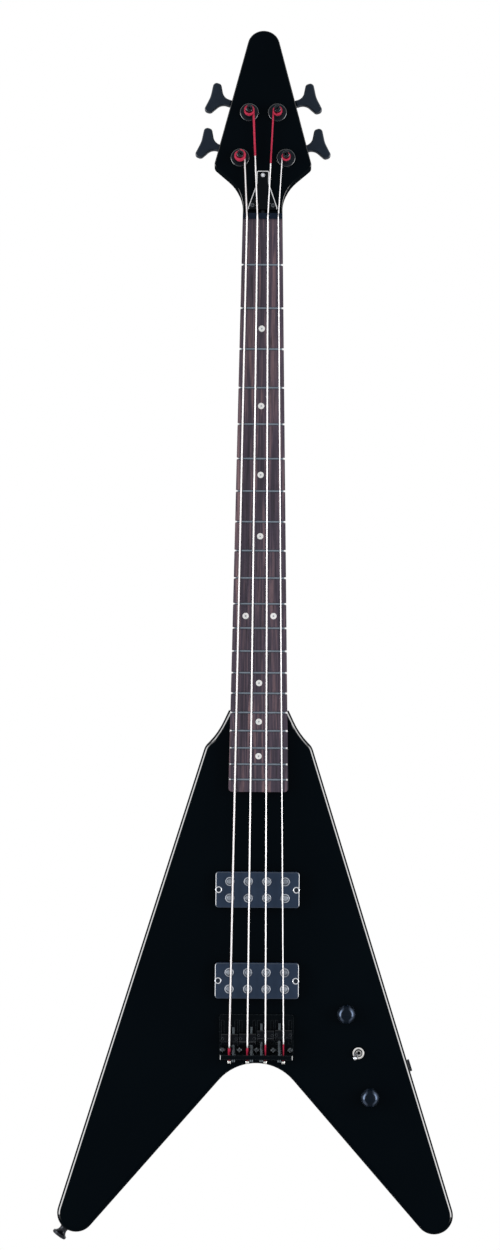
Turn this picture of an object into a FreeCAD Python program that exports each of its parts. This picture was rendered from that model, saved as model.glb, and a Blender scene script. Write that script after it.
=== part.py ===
import FreeCAD, Part
import math
import os

# Electric bass guitar with a V body, hung upright by its neck.
# Millimetres. Z runs up the neck to the headstock, the strings face -Y, X is the viewer's right.
# The origin lies on the centre line at the front edge of the nut, on the glue plane of the fretboard.

V = FreeCAD.Vector
os.makedirs("parts", exist_ok=True)

# Strings, from the thickest (viewer's left) to the thinnest
scale_length = 863.6
string_names = ("e", "a", "d", "g")
string_diameters = (2.6, 2.05, 1.6, 1.2)
string_turns = (2.25, 2.5, 2.75, 3.0)
string_setbacks = (4.5, 4.0, 0.5, 0.0)
bridge_spread = 57.0
first_fret_action = 0.3
octave_action = 2.2
string_contact_gap = 0.05
string_bend = 8.0
string_wall_lead = 2.0
turn_gap = 0.5
ball_diameter = 5.0
ball_length = 3.2

# Neck and fretboard
nut_width = 42.0
last_fret_width = 62.6
fret_count = 20
octave_fret_count = 12
board_thickness = 6.5
board_radius = 305.0
board_end_margin = 13.0
board_corner = 4.0
neck_depth_nut = 14.5
neck_depth_heel = 16.5
heel_depth = 18.5
heel_lead = 7.0
heel_blend = 60.0
heel_corner = 5.0
board_overhang = 1.0
nut_thickness = 6.0
nut_side_gap = 0.15
nut_edge_margin = 4.5
nut_seat_gap = 0.05
nut_stand = 1.0
nut_slot_gap = 0.2
nut_slot_relief = 0.09
nut_break_at = 2.0
fret_width = 2.4
fret_height = 1.2
fret_tang = 0.55
fret_tang_depth = 2.2
fret_bevel = 1.2
slot_clearance = 0.04
marker_diameter = 6.6
marker_depth = 1.5
octave_marker_spread = 29.4
marker_frets = (3, 5, 7, 9, 15, 17, 19)

# Headstock, measured along its tilted face from the back of the nut
head_tilt = 14.0
head_thickness = 14.5
head_length = 206.0
head_flare_half_width = 52.0
head_flare_at = 53.5
head_flare_radius = 6.0
head_waist_at = 26.0
head_waist_radius = 44.0
head_tip_radius = 17.2
head_edge_round = 1.2
head_blend = 24.0
head_blend_widening = 5.0
neck_power = 2.2
head_power = 8.0
oval_steps = 12

# Truss rod, its nut and its cover
rod_diameter = 5.0
rod_end_margin = 43.6
rod_channel_width = 6.4
rod_channel_depth = 9.0
rod_fit = 0.1
rod_block_length = 12.0
rod_nut_diameter = 7.0
rod_nut_length = 9.0
rod_nut_key = 4.0
rod_nut_key_depth = 4.5
rod_nut_gap = 0.4
rod_pocket_width = 11.0
rod_pocket_length = 26.0
rod_pocket_depth = 11.5
cover_thickness = 2.2
cover_start = 4.0
cover_length = 43.0
cover_top_width = 13.0
cover_bottom_width = 30.7
cover_waist_at = 33.0
cover_corner = 1.8
cover_screw_inset = 4.6
cover_screw_spread = 22.0

# Body: its top hangs on the end of the neck, its wings and fittings on the far end of the scale
body_thickness = 42.0
board_stand_off = 2.5
pocket_length = 84.6
pocket_lip = 1.6
pocket_fit = 0.08
shoulder_angle = 25.0
shoulder_run = 23.9
shoulder_round_share = 0.68
corner_half_width = 56.6
corner_run = 38.1
corner_radius = 14.0
wing_tip_radius = 20.0
wing_tip_x = 189.4
wing_tip_below = 188.2
notch_top_below = 28.4
notch_radius = 52.0
body_edge_round = 5.0

# Neck plate and its screws
plate_width = 51.0
plate_height = 63.0
plate_thickness = 2.0
plate_corner = 4.0
plate_end_gap = 6.0
plate_screw_inset = 7.0
neck_screw_diameter = 4.2
neck_screw_head = 9.0
neck_screw_head_height = 2.2
neck_screw_bite = 12.0
screw_fit = 0.05

# Tuning machines
post_lower_v = 62.0
post_lower_x = 24.3
post_upper_v = 112.9
post_upper_x = 14.9
post_diameter = 9.4
post_waist = 6.4
post_cap = 7.6
post_cap_height = 2.0
post_cap_round = 0.5
post_height = 14.6
post_hole = 3.0
post_slot = 2.9
post_slot_depth = 4.0
post_fit = 0.05
post_hole_gap = 0.3
post_stem = 6.0
ferrule_diameter = 20.0
ferrule_height = 2.2
ferrule_sleeve = 13.0
ferrule_sleeve_depth = 9.0
ferrule_round = 0.9
winding_fit = 0.2
winding_floor = 0.5
gear_teeth = 20
gear_module = 0.7
gear_width = 4.4
gear_tip_share = 0.86
gear_root_share = 1.2
gear_tooth_share = 0.42
worm_radius = 2.6
worm_thread_share = 0.37
worm_tip_share = 0.9
worm_turns = 4
worm_shoulder = 0.9
worm_thread_sink = 0.12
flank_angle = 20.0
tuner_plate_thickness = 1.6
tuner_plate_length = 25.0
tuner_plate_shift = 4.0
tuner_plate_margin = 8.3
tuner_plate_corner = 2.5
gear_float = 1.3
ear_thickness = 2.2
ear_gap = 0.3
ear_width = 6.8
key_shaft_diameter = 3.4
key_shaft_share = 0.4
key_fit = 0.04
gear_screw_head = 6.4
gear_screw_height = 1.8
gear_screw_shank = 3.0
gear_screw_bite = 6.0
gear_bore_fit = 0.02
key_lean = 4.5
key_start = 23.8
key_reach = 21.2
key_lobe_spread = 26.0
key_lobe_radius = 4.3
key_stem_width = 7.4
key_thickness = 6.2
key_round = 1.6
key_stem_corner = 1.0
key_inner_radius = 10.0
key_lobe_corner = 4.0
key_outer_radius = 30.0
key_outer_dip = 2.2
key_inner_at_share = 0.45
key_inner_half_share = 0.95

# Bridge, saddles, intonation screws and their springs
bridge_ahead = 23.6
bridge_behind = 23.4
bridge_side_margin = 1.7
bridge_thickness = 3.0
bridge_wall = 4.5
bridge_wall_height = 12.6
bridge_corner = 2.5
bridge_screw_count = 5
bridge_screw_behind = 13.8
bridge_screw_inset = 3.5
bridge_screw_diameter = 4.0
bridge_screw_head = 7.0
bridge_screw_head_height = 2.2
bridge_screw_bite = 18.0
bridge_groove_width = 2.8
bridge_groove_depth = 0.7
bridge_groove_start = 6.0
bridge_groove_behind = 7.4
saddle_gap = 1.4
saddle_ahead = 8.0
saddle_behind = 4.0
saddle_slope_drop = 2.2
saddle_clearance = 1.7
saddle_groove_depth = 0.7
saddle_groove_fit = 0.25
saddle_round = 0.8
saddle_back_travel = 2.0
string_break_reach = 3.2
saddle_grub_diameter = 2.5
saddle_grub_inset = 1.7
saddle_grub_ahead = 3.0
saddle_grub_sink = 0.6
intonation_offset = 4.3
intonation_height = 9.0
intonation_diameter = 2.5
intonation_fit = 0.06
intonation_head = 4.4
intonation_head_height = 2.4
intonation_tip = 7.0
intonation_slot = 0.8
string_hole_fit = 0.4
string_hole_height = 6.6
spring_wire = 0.6
spring_diameter = 4.8
spring_curls = 5.5
spring_seat_curls = 0.5
spring_end_gap = 0.15

# Pickups
pickup_distances = (155.6, 59.6)
pickup_length = 89.0
pickup_width = 38.0
pickup_height = 21.0
pickup_proud = 8.5
pickup_corner = 3.5
pickup_top_round = 1.4
pickup_fit = 0.8
pickup_cavity_depth = 20.0
pole_columns = 4
pole_rows = 2
pole_spread = 58.5
pole_row_gap = 17.5
pole_diameter = 9.5
pole_proud = 0.4
pole_depth = 6.0
pole_round = 0.3
pickup_screw_inset = 3.5
pickup_screw_diameter = 3.0
pickup_screw_head = 5.6
pickup_screw_head_height = 2.2
pickup_screw_recess = 7.0
pickup_screw_length = 32.0
foam_length = 60.0
foam_width = 26.0
foam_gap = 0.1

# Controls on the right wing, and their cavity in the back
volume_x = 94.7
volume_ahead = 24.6
tone_x = 120.4
tone_behind = 63.4
switch_along_share = 0.47
switch_aside = 1.2
cavity_half_width = 19.0
cavity_end = 23.0
cavity_skin = 5.0
cavity_cover_margin = 5.0
cavity_cover_thickness = 2.0
cavity_cover_fit = 0.15
cavity_screw_along = 36.0
knob_diameter = 20.0
knob_height = 13.5
knob_gap = 0.8
knob_dome_share = 0.45
knob_taper_share = 0.95
knob_bore_depth = 9.0
knob_recess = 13.0
knob_recess_depth = 3.0
pot_shaft_diameter = 6.0
pot_shaft_fit = 0.06
pot_bushing_diameter = 7.0
pot_body_diameter = 24.0
pot_body_depth = 9.5
pot_shaft_sink = 4.0
pot_nut_across = 10.0
pot_nut_thickness = 2.0
pot_nut_gap = 0.2
hole_fit = 0.15
switch_length = 13.0
switch_width = 12.0
switch_depth = 10.5
switch_bushing_diameter = 6.2
switch_bushing_bore = 4.6
switch_bushing_proud = 4.4
switch_nut_diameter = 13.0
switch_nut_thickness = 2.4
switch_nut_round = 0.8
lever_length = 16.5
lever_root_diameter = 2.4
lever_tip_diameter = 4.4
lever_sink = 2.0
lever_tilt = 20.0
lever_heading = 225.0
lever_pin_diameter = 1.0
lever_pin_length = 4.2
terminal_width = 1.6
terminal_length = 4.5
terminal_pitch = 4.4

# Output jack in the edge of the right wing
jack_behind = 31.2
jack_plate_length = 38.0
jack_plate_width = 24.0
jack_plate_thickness = 1.5
jack_plate_fit = 0.1
jack_diameter = 18.0
jack_length = 28.0
jack_bore = 6.4
jack_bore_depth = 26.0
jack_hole_fit = 0.25
jack_collar = 13.0
jack_collar_proud = 2.5
jack_collar_round = 0.8
jack_screw_spread = 29.0

# Strap buttons
button_heading = 234.0
button_base = 14.0
button_waist = 8.6
button_rim = 16.0
button_height = 13.5
button_rim_height = 3.0
button_edge = 0.8
button_waist_share = 0.42
button_screw_diameter = 4.0
button_screw_bite = 22.0
button_screw_head = 8.0
button_screw_head_height = 2.6
heel_button_gap = 22.4

# Small countersunk screws
small_screw_diameter = 2.4
small_screw_head = 4.6
small_screw_head_height = 1.3
small_screw_length = 9.0
crown_round_share = 0.33

# Wiring
wire_diameter = 2.4
wire_channel = 8.0
wire_bend = 9.0
wire_floor_gap = 0.2
wire_start_share = 0.5
channel_aim_share = 0.35
channel_start_share = 0.25
lead_start_share = 0.25
capacitor_diameter = 9.0
capacitor_thickness = 3.0
capacitor_aside_share = 0.25

# One overrun for every cut, and how bends and gaps are worked out
overrun = 1.0
bend_room_share = 0.45
gap_points_per_diameter = 2
gap_skip_share = 4.0

# Levels that several pieces share
body_front = board_stand_off
body_back = body_front + body_thickness
same_point = 1e-6
hexagon_sides = 6
last_fret_at = scale_length * (1 - 2 ** (-fret_count / octave_fret_count))
board_end = last_fret_at + board_end_margin
heel_end = board_end - board_overhang
rod_reach = heel_end - rod_end_margin
body_top = heel_end - pocket_length
heel_start = body_top - heel_lead
nut_spread = nut_width - 2 * nut_edge_margin
string_spaces = len(string_names) - 1
saddle_width = bridge_spread / string_spaces - saddle_gap
bridge_width = bridge_spread + saddle_width + 2 * bridge_side_margin
bridge_front = scale_length - bridge_ahead
bridge_back = scale_length + bridge_behind
pickup_places = [scale_length - distance for distance in pickup_distances]
board_top = -board_thickness
DOWN = V(0, 0, -1)
UP = V(0, 0, 1)
RIGHT = V(1, 0, 0)
FRONT = V(0, -1, 0)
BACK = V(0, 1, 0)
ORIGIN = V(0, 0, 0)


def half_width(distance):
    """Half the width of the neck at this distance below the nut."""
    widening = (last_fret_width - nut_width) / 2
    return nut_width / 2 + widening * distance / last_fret_at


def fret_at(number):
    return scale_length * (1 - 2 ** (-number / octave_fret_count))


def front_place(level):
    """Maps (across, up) to a point of the upright plane at this depth."""
    def place(point):
        return V(point.x, level, point.y)
    return place


def flat_place(level):
    """Maps (across, along) to a point of a plane square to the third axis."""
    def place(point):
        return V(point.x, point.y, level)
    return place


def side_place(level):
    """Maps (depth, up) to a point of the plane square to X at this level."""
    def place(point):
        return V(level, point.x, point.y)
    return place


def rounded_wire(corners, place):
    """Closed wire through (across, along, radius) corners, each rounded by a tangent arc."""
    points = [V(across, along, 0) for across, along, radius in corners]
    stretches = []
    for index, (across, along, radius) in enumerate(corners):
        corner = points[index]
        arriving = (corner - points[index - 1]).normalize()
        leaving = (points[(index + 1) % len(points)] - corner).normalize()
        half_turn = arriving.getAngle(leaving) / 2
        reach = radius * math.tan(half_turn)
        inward = leaving - arriving
        middle = corner
        if radius > 0:
            middle = corner + inward.normalize() * (radius / math.cos(half_turn) - radius)
        stretches.append((corner - arriving * reach, middle, corner + leaving * reach, radius))
    edges = []
    for index, (start, middle, end, radius) in enumerate(stretches):
        before = stretches[index - 1][2]
        if before.distanceToPoint(start) > same_point:
            edges.append(Part.LineSegment(place(before), place(start)).toShape())
        if radius > 0:
            edges.append(Part.Arc(place(start), place(middle), place(end)).toShape())
    return Part.Wire(edges)


def prism(corners, place, travel):
    return Part.Face(rounded_wire(corners, place)).extrude(travel)


def rectangle(across, along, width, length, radius):
    """Corners of a rectangle centred at (across, along)."""
    return [(across - width / 2, along - length / 2, radius),
            (across + width / 2, along - length / 2, radius),
            (across + width / 2, along + length / 2, radius),
            (across - width / 2, along + length / 2, radius)]


def capsule(start, end, radius):
    """Corners of a slot with round ends about two points of a plane."""
    along = (end - start).normalize() * radius
    across = V(-along.y, along.x, 0)
    corners = [start - along - across, end + along - across, end + along + across, start - along + across]
    return [(corner.x, corner.y, radius) for corner in corners]


def rod(start, direction, diameter, length):
    return Part.makeCylinder(diameter / 2, length, start, direction)


def joined(*shapes):
    return shapes[0].multiFuse(list(shapes[1:])).removeSplitter()


def placed(shape, placement):
    moved = shape.copy()
    moved.Placement = placement.multiply(moved.Placement)
    return moved


def mirrored(shape):
    return shape.mirror(ORIGIN, RIGHT)


def save(name, *shapes):
    """Writes one node, a single solid or a group of separate solids."""
    shape = shapes[0] if len(shapes) == 1 else Part.makeCompound(list(shapes))
    if not shape.isValid():
        print("not valid:", name)
    shape.exportStep("parts/" + name + ".step")


def screw(seat, inward, diameter, length, head, head_height, sunk):
    """Wood screw with its head on the seat, or sunk flush into it."""
    shank = rod(seat, inward, diameter, length)
    if sunk:
        return joined(shank, Part.makeCone(head / 2, diameter / 2, head_height, seat, inward))
    crown = rod(seat - inward * head_height, inward, head, head_height)
    rim = [edge for edge in crown.Edges
           if edge.Closed and edge.CenterOfMass.distanceToPoint(seat) > head_height / 2]
    return joined(shank, crown.makeFillet(head_height * crown_round_share, rim))


def screw_hole(seat, inward, diameter, length, head=0, head_height=0):
    """Clearance for a screw, with a countersink where a head size is given."""
    start = seat - inward * overrun
    hole = rod(start, inward, diameter + 2 * screw_fit, length + overrun + screw_fit)
    if head == 0:
        return hole
    sink = Part.makeCone(head / 2 + screw_fit, diameter / 2 + screw_fit, head_height, seat, inward)
    return hole.fuse(sink)


def hexagon(across_flats, centre):
    """Face of a hexagon square to the third axis."""
    side_turn = 2 * math.pi / hexagon_sides
    reach = across_flats / 2 / math.cos(side_turn / 2)
    corners = [V(math.cos(side * side_turn), math.sin(side * side_turn), 0) * reach + centre
               for side in range(hexagon_sides)]
    return Part.Face(Part.makePolygon(corners + corners[:1]))


def evenly(count, spread):
    """Places of a row of pieces about its middle."""
    return [spread * (index / (count - 1)) - spread / 2 for index in range(count)]


def small_screw(seat, inward):
    return screw(seat, inward, small_screw_diameter, small_screw_length, small_screw_head,
                 small_screw_head_height, True)


def small_screw_hole(seat, inward):
    return screw_hole(seat, inward, small_screw_diameter, small_screw_length, small_screw_head,
                      small_screw_head_height)


def rounded_path(points, bend):
    """Straight runs through the points, joined by tangent arcs that fit beside each corner."""
    edges = []
    last = points[0]
    for before, corner, after in zip(points, points[1:], points[2:]):
        arriving = (corner - before).normalize()
        leaving = (after - corner).normalize()
        half_turn = arriving.getAngle(leaving) / 2
        room = min(corner.distanceToPoint(before), corner.distanceToPoint(after)) * bend_room_share
        radius = min(bend, room / math.tan(half_turn))
        reach = radius * math.tan(half_turn)
        inward = (leaving - arriving).normalize()
        start = corner - arriving * reach
        end = corner + leaving * reach
        middle = corner + inward * (radius / math.cos(half_turn) - radius)
        edges.append(Part.LineSegment(last, start).toShape())
        edges.append(Part.Arc(start, middle, end).toShape())
        last = end
    edges.append(Part.LineSegment(last, points[-1]).toShape())
    return edges


def biarc(start, start_heading, end, end_heading):
    """Two tangent arcs from one point and heading to another."""
    span = end - start
    both = start_heading + end_heading
    bend = 2 * (1 - start_heading.dot(end_heading))
    along = span.dot(both)
    reach = (math.sqrt(along * along + bend * span.dot(span)) - along) / bend
    joint = (start + end + (start_heading - end_heading) * reach) / 2
    edges = []
    for first, second, knee in ((start, joint, start + start_heading * reach),
                                (joint, end, end - end_heading * reach)):
        chord_middle = (first + second) / 2
        cosine = first.distanceToPoint(chord_middle) / first.distanceToPoint(knee)
        crown = chord_middle + (knee - chord_middle) * (cosine / (1 + cosine))
        edges.append(Part.Arc(first, crown, second).toShape())
    return edges


def tube(edges, diameter):
    """Solid tube of round section along a smooth chain of edges."""
    path = Part.Wire(edges)
    first = edges[0]
    start = first.valueAt(first.FirstParameter)
    heading = first.tangentAt(first.FirstParameter)
    section = Part.Wire(Part.makeCircle(diameter / 2, start, heading))
    return path.makePipeShell([section], True, False)


def least_gap(edges, diameter):
    """Least gap between the tube's own turns, measured on points a good way apart along it."""
    points = []
    length = 0
    for edge in edges:
        count = max(2, int(edge.Length / diameter * gap_points_per_diameter))
        for point in edge.discretize(count)[1:]:
            if points:
                length += points[-1][0].distanceToPoint(point)
            points.append((point, length))
    apart = diameter * gap_skip_share
    gaps = [first.distanceToPoint(second)
            for index, (first, at) in enumerate(points)
            for second, then in points[index + 1:]
            if then - at > apart]
    return min(gaps) - diameter


# Body

def crossing(point, heading, other_point, other_heading):
    """Where two lines of a plane meet."""
    gap = other_point - point
    turn = heading.x * other_heading.y - heading.y * other_heading.x
    reach = (gap.x * other_heading.y - gap.y * other_heading.x) / turn
    return point + heading * reach


def heading_down(angle):
    """Unit vector that runs down the instrument and out by this angle."""
    return V(math.sin(math.radians(angle)), -math.cos(math.radians(angle)), 0)


def angle_down(span):
    """How far a line of the plane leans out from straight down."""
    return math.degrees(math.atan2(span.x, -span.y))


# The outer edge runs from the shoulder's corner past the round tip, the inner one on to the round notch
wing_tip = V(wing_tip_x, -scale_length - wing_tip_below, 0)
shoulder_corner = V(corner_half_width, -body_top - corner_run, 0)
outer_span = wing_tip - shoulder_corner
outer_turn = math.degrees(math.asin(wing_tip_radius / outer_span.Length))
wing_heading = heading_down(angle_down(outer_span) + outer_turn)
wing_out = V(-wing_heading.y, wing_heading.x, 0)
notch_centre = V(0, -scale_length - notch_top_below - notch_radius, 0)
inner_span = wing_tip - notch_centre
inner_turn = math.degrees(math.asin((wing_tip_radius + notch_radius) / inner_span.Length))


def body_outline():
    """Right half from the neck to the notch, then its mirror image."""
    notch_heading = heading_down(angle_down(inner_span) - inner_turn)
    notch_in = V(notch_heading.y, -notch_heading.x, 0)
    notch_point = wing_tip + notch_in * wing_tip_radius
    lip = V(half_width(body_top) + pocket_fit + pocket_lip, -body_top, 0)
    shoulder_heading = heading_down(shoulder_angle)
    turn = lip + shoulder_heading * (shoulder_run / math.cos(math.radians(shoulder_angle)))
    to_corner = shoulder_corner - turn
    half_turn = to_corner.getAngle(shoulder_heading) / 2
    turn_radius = to_corner.Length * shoulder_round_share / math.tan(half_turn)
    tip = crossing(shoulder_corner, wing_heading, notch_point, notch_heading)
    apex = crossing(notch_point, notch_heading, ORIGIN, V(0, 1, 0))
    right = [(lip.x, lip.y, 0), (turn.x, turn.y, turn_radius),
             (shoulder_corner.x, shoulder_corner.y, corner_radius), (tip.x, tip.y, wing_tip_radius)]
    left = [(-across, along, radius) for across, along, radius in reversed(right)]
    return right + [(apex.x, apex.y, notch_radius)] + left


def heel_corners(start, end, fit):
    return [(-half_width(start) - fit, -start, 0), (half_width(start) + fit, -start, 0),
            (half_width(end) + fit, -end - fit, heel_corner + fit),
            (-half_width(end) - fit, -end - fit, heel_corner + fit)]


volume_place = V(volume_x, -scale_length + volume_ahead, 0)
tone_place = V(tone_x, -scale_length - tone_behind, 0)
control_heading = (tone_place - volume_place).normalize()
control_across = V(-control_heading.y, control_heading.x, 0)
control_span = tone_place - volume_place
switch_place = volume_place + control_span * switch_along_share + control_across * switch_aside
cavity_start = volume_place - control_heading * (cavity_end - cavity_half_width)
cavity_finish = tone_place + control_heading * (cavity_end - cavity_half_width)
cover_half_width = cavity_half_width + cavity_cover_margin
cavity_roof = body_front + cavity_skin
cover_seat = body_back - cavity_cover_thickness

# The output jack lies square to the edge of the right wing
jack_run = (shoulder_corner.y + scale_length + jack_behind) / -wing_heading.y
jack_point = shoulder_corner + wing_heading * jack_run
body_middle = body_front + body_thickness / 2
jack_centre = V(jack_point.x, body_middle, jack_point.y)
jack_out = V(wing_out.x, 0, wing_out.y)
jack_along = V(wing_heading.x, 0, wing_heading.y)
jack_turn = FreeCAD.Placement(FreeCAD.Matrix(
    jack_along.x, 0, jack_out.x, jack_centre.x,
    jack_along.y, 1, jack_out.y, jack_centre.y,
    jack_along.z, 0, jack_out.z, jack_centre.z,
    0, 0, 0, 1))

# Strap buttons: one on the tip of the left wing, one behind the heel of the neck
button_out = V(math.cos(math.radians(button_heading)), 0, math.sin(math.radians(button_heading)))
button_sink = wing_tip_radius - math.sqrt(wing_tip_radius ** 2 - (button_base / 2) ** 2)
button_seat = V(-wing_tip.x, body_middle, wing_tip.y) + button_out * (wing_tip_radius - button_sink)
heel_button_seat = V(0, body_back, -heel_end - heel_button_gap)
button_places = ((button_seat, button_out), (heel_button_seat, BACK))

# Screw places in the body
plate_top = body_top + plate_end_gap
plate_middle = plate_top + plate_height / 2
neck_screw_places = [V(side * (plate_width / 2 - plate_screw_inset), body_back + plate_thickness,
                       -plate_middle + end * (plate_height / 2 - plate_screw_inset))
                     for side in (-1, 1) for end in (-1, 1)]
neck_screw_length = body_back + plate_thickness - heel_depth + neck_screw_bite
bridge_top = body_front - bridge_thickness
bridge_screw_places = [V(across, bridge_top, -scale_length - bridge_screw_behind)
                       for across in evenly(bridge_screw_count, bridge_width - 2 * bridge_screw_inset)]
bridge_screw_length = bridge_thickness + bridge_screw_bite
pickup_top = body_front - pickup_proud
pickup_floor = pickup_top + pickup_height
cavity_floor = body_front + pickup_cavity_depth
pickup_screw_seat = pickup_top + pickup_screw_head_height
pickup_screw_across = pickup_length / 2 - pickup_screw_inset
pickup_screw_places = [[V(side * pickup_screw_across, pickup_screw_seat, -place) for side in (-1, 1)]
                       for place in pickup_places]
cover_corner_across = control_across * (cover_half_width - cavity_cover_margin / 2)
control_middle = (volume_place + tone_place) / 2
cover_screw_flat = [control_middle + control_heading * end * cavity_screw_along + cover_corner_across * side
                    for end in (-1, 1) for side in (-1, 1)]
cover_screw_places = [V(point.x, body_back, point.y) for point in cover_screw_flat]
jack_screw_places = [jack_centre + jack_along * (end * jack_screw_spread / 2) for end in (-1, 1)]

# Wire channels: between the pickups, and from the bridge pickup to the control cavity
channel_x = pickup_length / 2 - wire_channel
pickup_channel_level = cavity_floor - wire_channel / 2
pickup_channel_top = V(channel_x, pickup_channel_level, -pickup_places[0])
pickup_channel_end = V(channel_x, pickup_channel_level, -pickup_places[1])
control_channel_level = cavity_floor - wire_diameter
control_channel_start = V(channel_x, control_channel_level,
                          -pickup_places[1] - pickup_width * channel_start_share)
channel_aim = switch_place + (volume_place - switch_place) * channel_aim_share
control_channel_end = V(channel_aim.x, control_channel_level, channel_aim.y)


def make_body():
    outline = body_outline()
    body = prism(outline, front_place(body_front), BACK * body_thickness)
    rims = []
    for edge in body.Edges:
        depths = [vertex.Y for vertex in edge.Vertexes]
        tops = [vertex.Z + body_top for vertex in edge.Vertexes]
        on_face = max(depths) - min(depths) < same_point
        if on_face and max(abs(top) for top in tops) > same_point:
            rims.append(edge)
    body = body.makeFillet(body_edge_round, rims)
    pocket_depth = heel_depth - body_front + overrun
    cuts = [prism(heel_corners(body_top - overrun, heel_end, pocket_fit), front_place(body_front - overrun),
                  BACK * pocket_depth)]
    for place in pickup_places:
        corners = rectangle(0, -place, pickup_length + 2 * pickup_fit, pickup_width + 2 * pickup_fit,
                            pickup_corner + pickup_fit)
        cuts.append(prism(corners, front_place(body_front - overrun),
                          BACK * (pickup_cavity_depth + overrun)))
    cuts.append(prism(capsule(cavity_start, cavity_finish, cavity_half_width), front_place(cavity_roof),
                      BACK * (body_back - cavity_roof + overrun)))
    cuts.append(prism(capsule(cavity_start, cavity_finish, cover_half_width), front_place(cover_seat),
                      BACK * (cavity_cover_thickness + overrun)))
    for place, diameter in ((volume_place, pot_bushing_diameter), (tone_place, pot_bushing_diameter),
                            (switch_place, switch_bushing_diameter)):
        cuts.append(rod(V(place.x, body_front - overrun, place.y), BACK, diameter + 2 * hole_fit,
                        cavity_skin + 2 * overrun))
    for start, end in ((pickup_channel_top, pickup_channel_end),
                       (control_channel_start, control_channel_end)):
        channel = end - start
        cuts.append(Part.makeCylinder(wire_channel / 2, channel.Length, start, channel))
    jack_depth = jack_length + cavity_end
    cuts.append(rod(jack_centre - jack_out * jack_depth, jack_out, jack_diameter + 2 * jack_hole_fit,
                    jack_depth + overrun))
    recess_width = jack_plate_width + 2 * jack_plate_fit
    recess = prism(rectangle(0, 0, jack_plate_length + 2 * jack_plate_fit, recess_width, recess_width / 2),
                   flat_place(-jack_plate_thickness), UP * (jack_plate_thickness + overrun))
    cuts.append(placed(recess, jack_turn))
    spot = rod(button_seat, button_out, button_base + 2 * screw_fit, button_sink + overrun)
    cuts.append(spot)
    for seat, outward in button_places:
        cuts.append(screw_hole(seat, outward * -1, button_screw_diameter, button_screw_bite))
    for seat in neck_screw_places:
        cuts.append(screw_hole(seat, FRONT, neck_screw_diameter, neck_screw_length))
    for seat in bridge_screw_places:
        cuts.append(screw_hole(seat, BACK, bridge_screw_diameter, bridge_screw_length))
    for seats in pickup_screw_places:
        for seat in seats:
            cuts.append(screw_hole(seat, BACK, pickup_screw_diameter, pickup_screw_length))
    for seat in cover_screw_places:
        cuts.append(screw_hole(seat, FRONT, small_screw_diameter, small_screw_length))
    for seat in jack_screw_places:
        cuts.append(screw_hole(seat, jack_out * -1, small_screw_diameter, small_screw_length))
    return body.cut(cuts)


def make_control_cover():
    corners = capsule(cavity_start, cavity_finish, cover_half_width - cavity_cover_fit)
    cover = prism(corners, front_place(cover_seat), BACK * cavity_cover_thickness)
    return cover.cut([small_screw_hole(seat, FRONT) for seat in cover_screw_places])


save("body", make_body())
save("control_cover", make_control_cover())


# Neck with its headstock, cut from one piece of wood

head_angle = math.radians(head_tilt)
head_up = V(0, math.sin(head_angle), math.cos(head_angle))
head_out = V(0, -math.cos(head_angle), math.sin(head_angle))
head_foot = V(0, 0, nut_thickness)
head_turn = FreeCAD.Placement(FreeCAD.Matrix(
    1, head_up.x, head_out.x, head_foot.x,
    0, head_up.y, head_out.y, head_foot.y,
    0, head_up.z, head_out.z, head_foot.z,
    0, 0, 0, 1))


def head_point(across, along, above):
    """Point given across the headstock, along its face from the nut, and above that face."""
    return head_foot + V(across, 0, 0) + head_up * along + head_out * above


def oval_section(place, half, depth, power):
    """Flat on the glue side, rounded behind: a half superellipse, squarer with a higher power."""
    points = []
    for step in range(oval_steps + 1):
        angle = math.pi * step / oval_steps
        cosine = math.cos(angle)
        across = math.copysign(abs(cosine) ** (2 / power), cosine) * half
        points.append(place(across, depth * abs(math.sin(angle)) ** (2 / power)))
    curve = Part.BSplineCurve()
    curve.interpolate(points)
    return Part.Wire([curve.toShape(), Part.LineSegment(points[-1], points[0]).toShape()])


def level_place(level):
    def place(across, deep):
        return V(across, deep, level)
    return place


def head_place(along):
    def place(across, deep):
        return head_point(across, along, -deep)
    return place


# The sides of the headstock run from the flare past its round tip
tip_span = V(head_flare_half_width, head_length - head_tip_radius - head_flare_at, 0)
head_taper = math.atan2(tip_span.x, tip_span.y) - math.asin(head_tip_radius / tip_span.Length)


def head_outline():
    nut_half = nut_width / 2
    apex = head_flare_at + head_flare_half_width / math.tan(head_taper)
    right = [(nut_half, 0, 0), (nut_half, head_waist_at, head_waist_radius),
             (head_flare_half_width, head_flare_at, head_flare_radius)]
    left = [(-across, along, radius) for across, along, radius in reversed(right)]
    return right + [(0, apex, head_tip_radius)] + left


rod_level = rod_channel_depth - rod_diameter / 2 - rod_fit
rod_nut_start = nut_thickness + rod_nut_gap
rod_pocket_start = nut_thickness / 2


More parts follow.
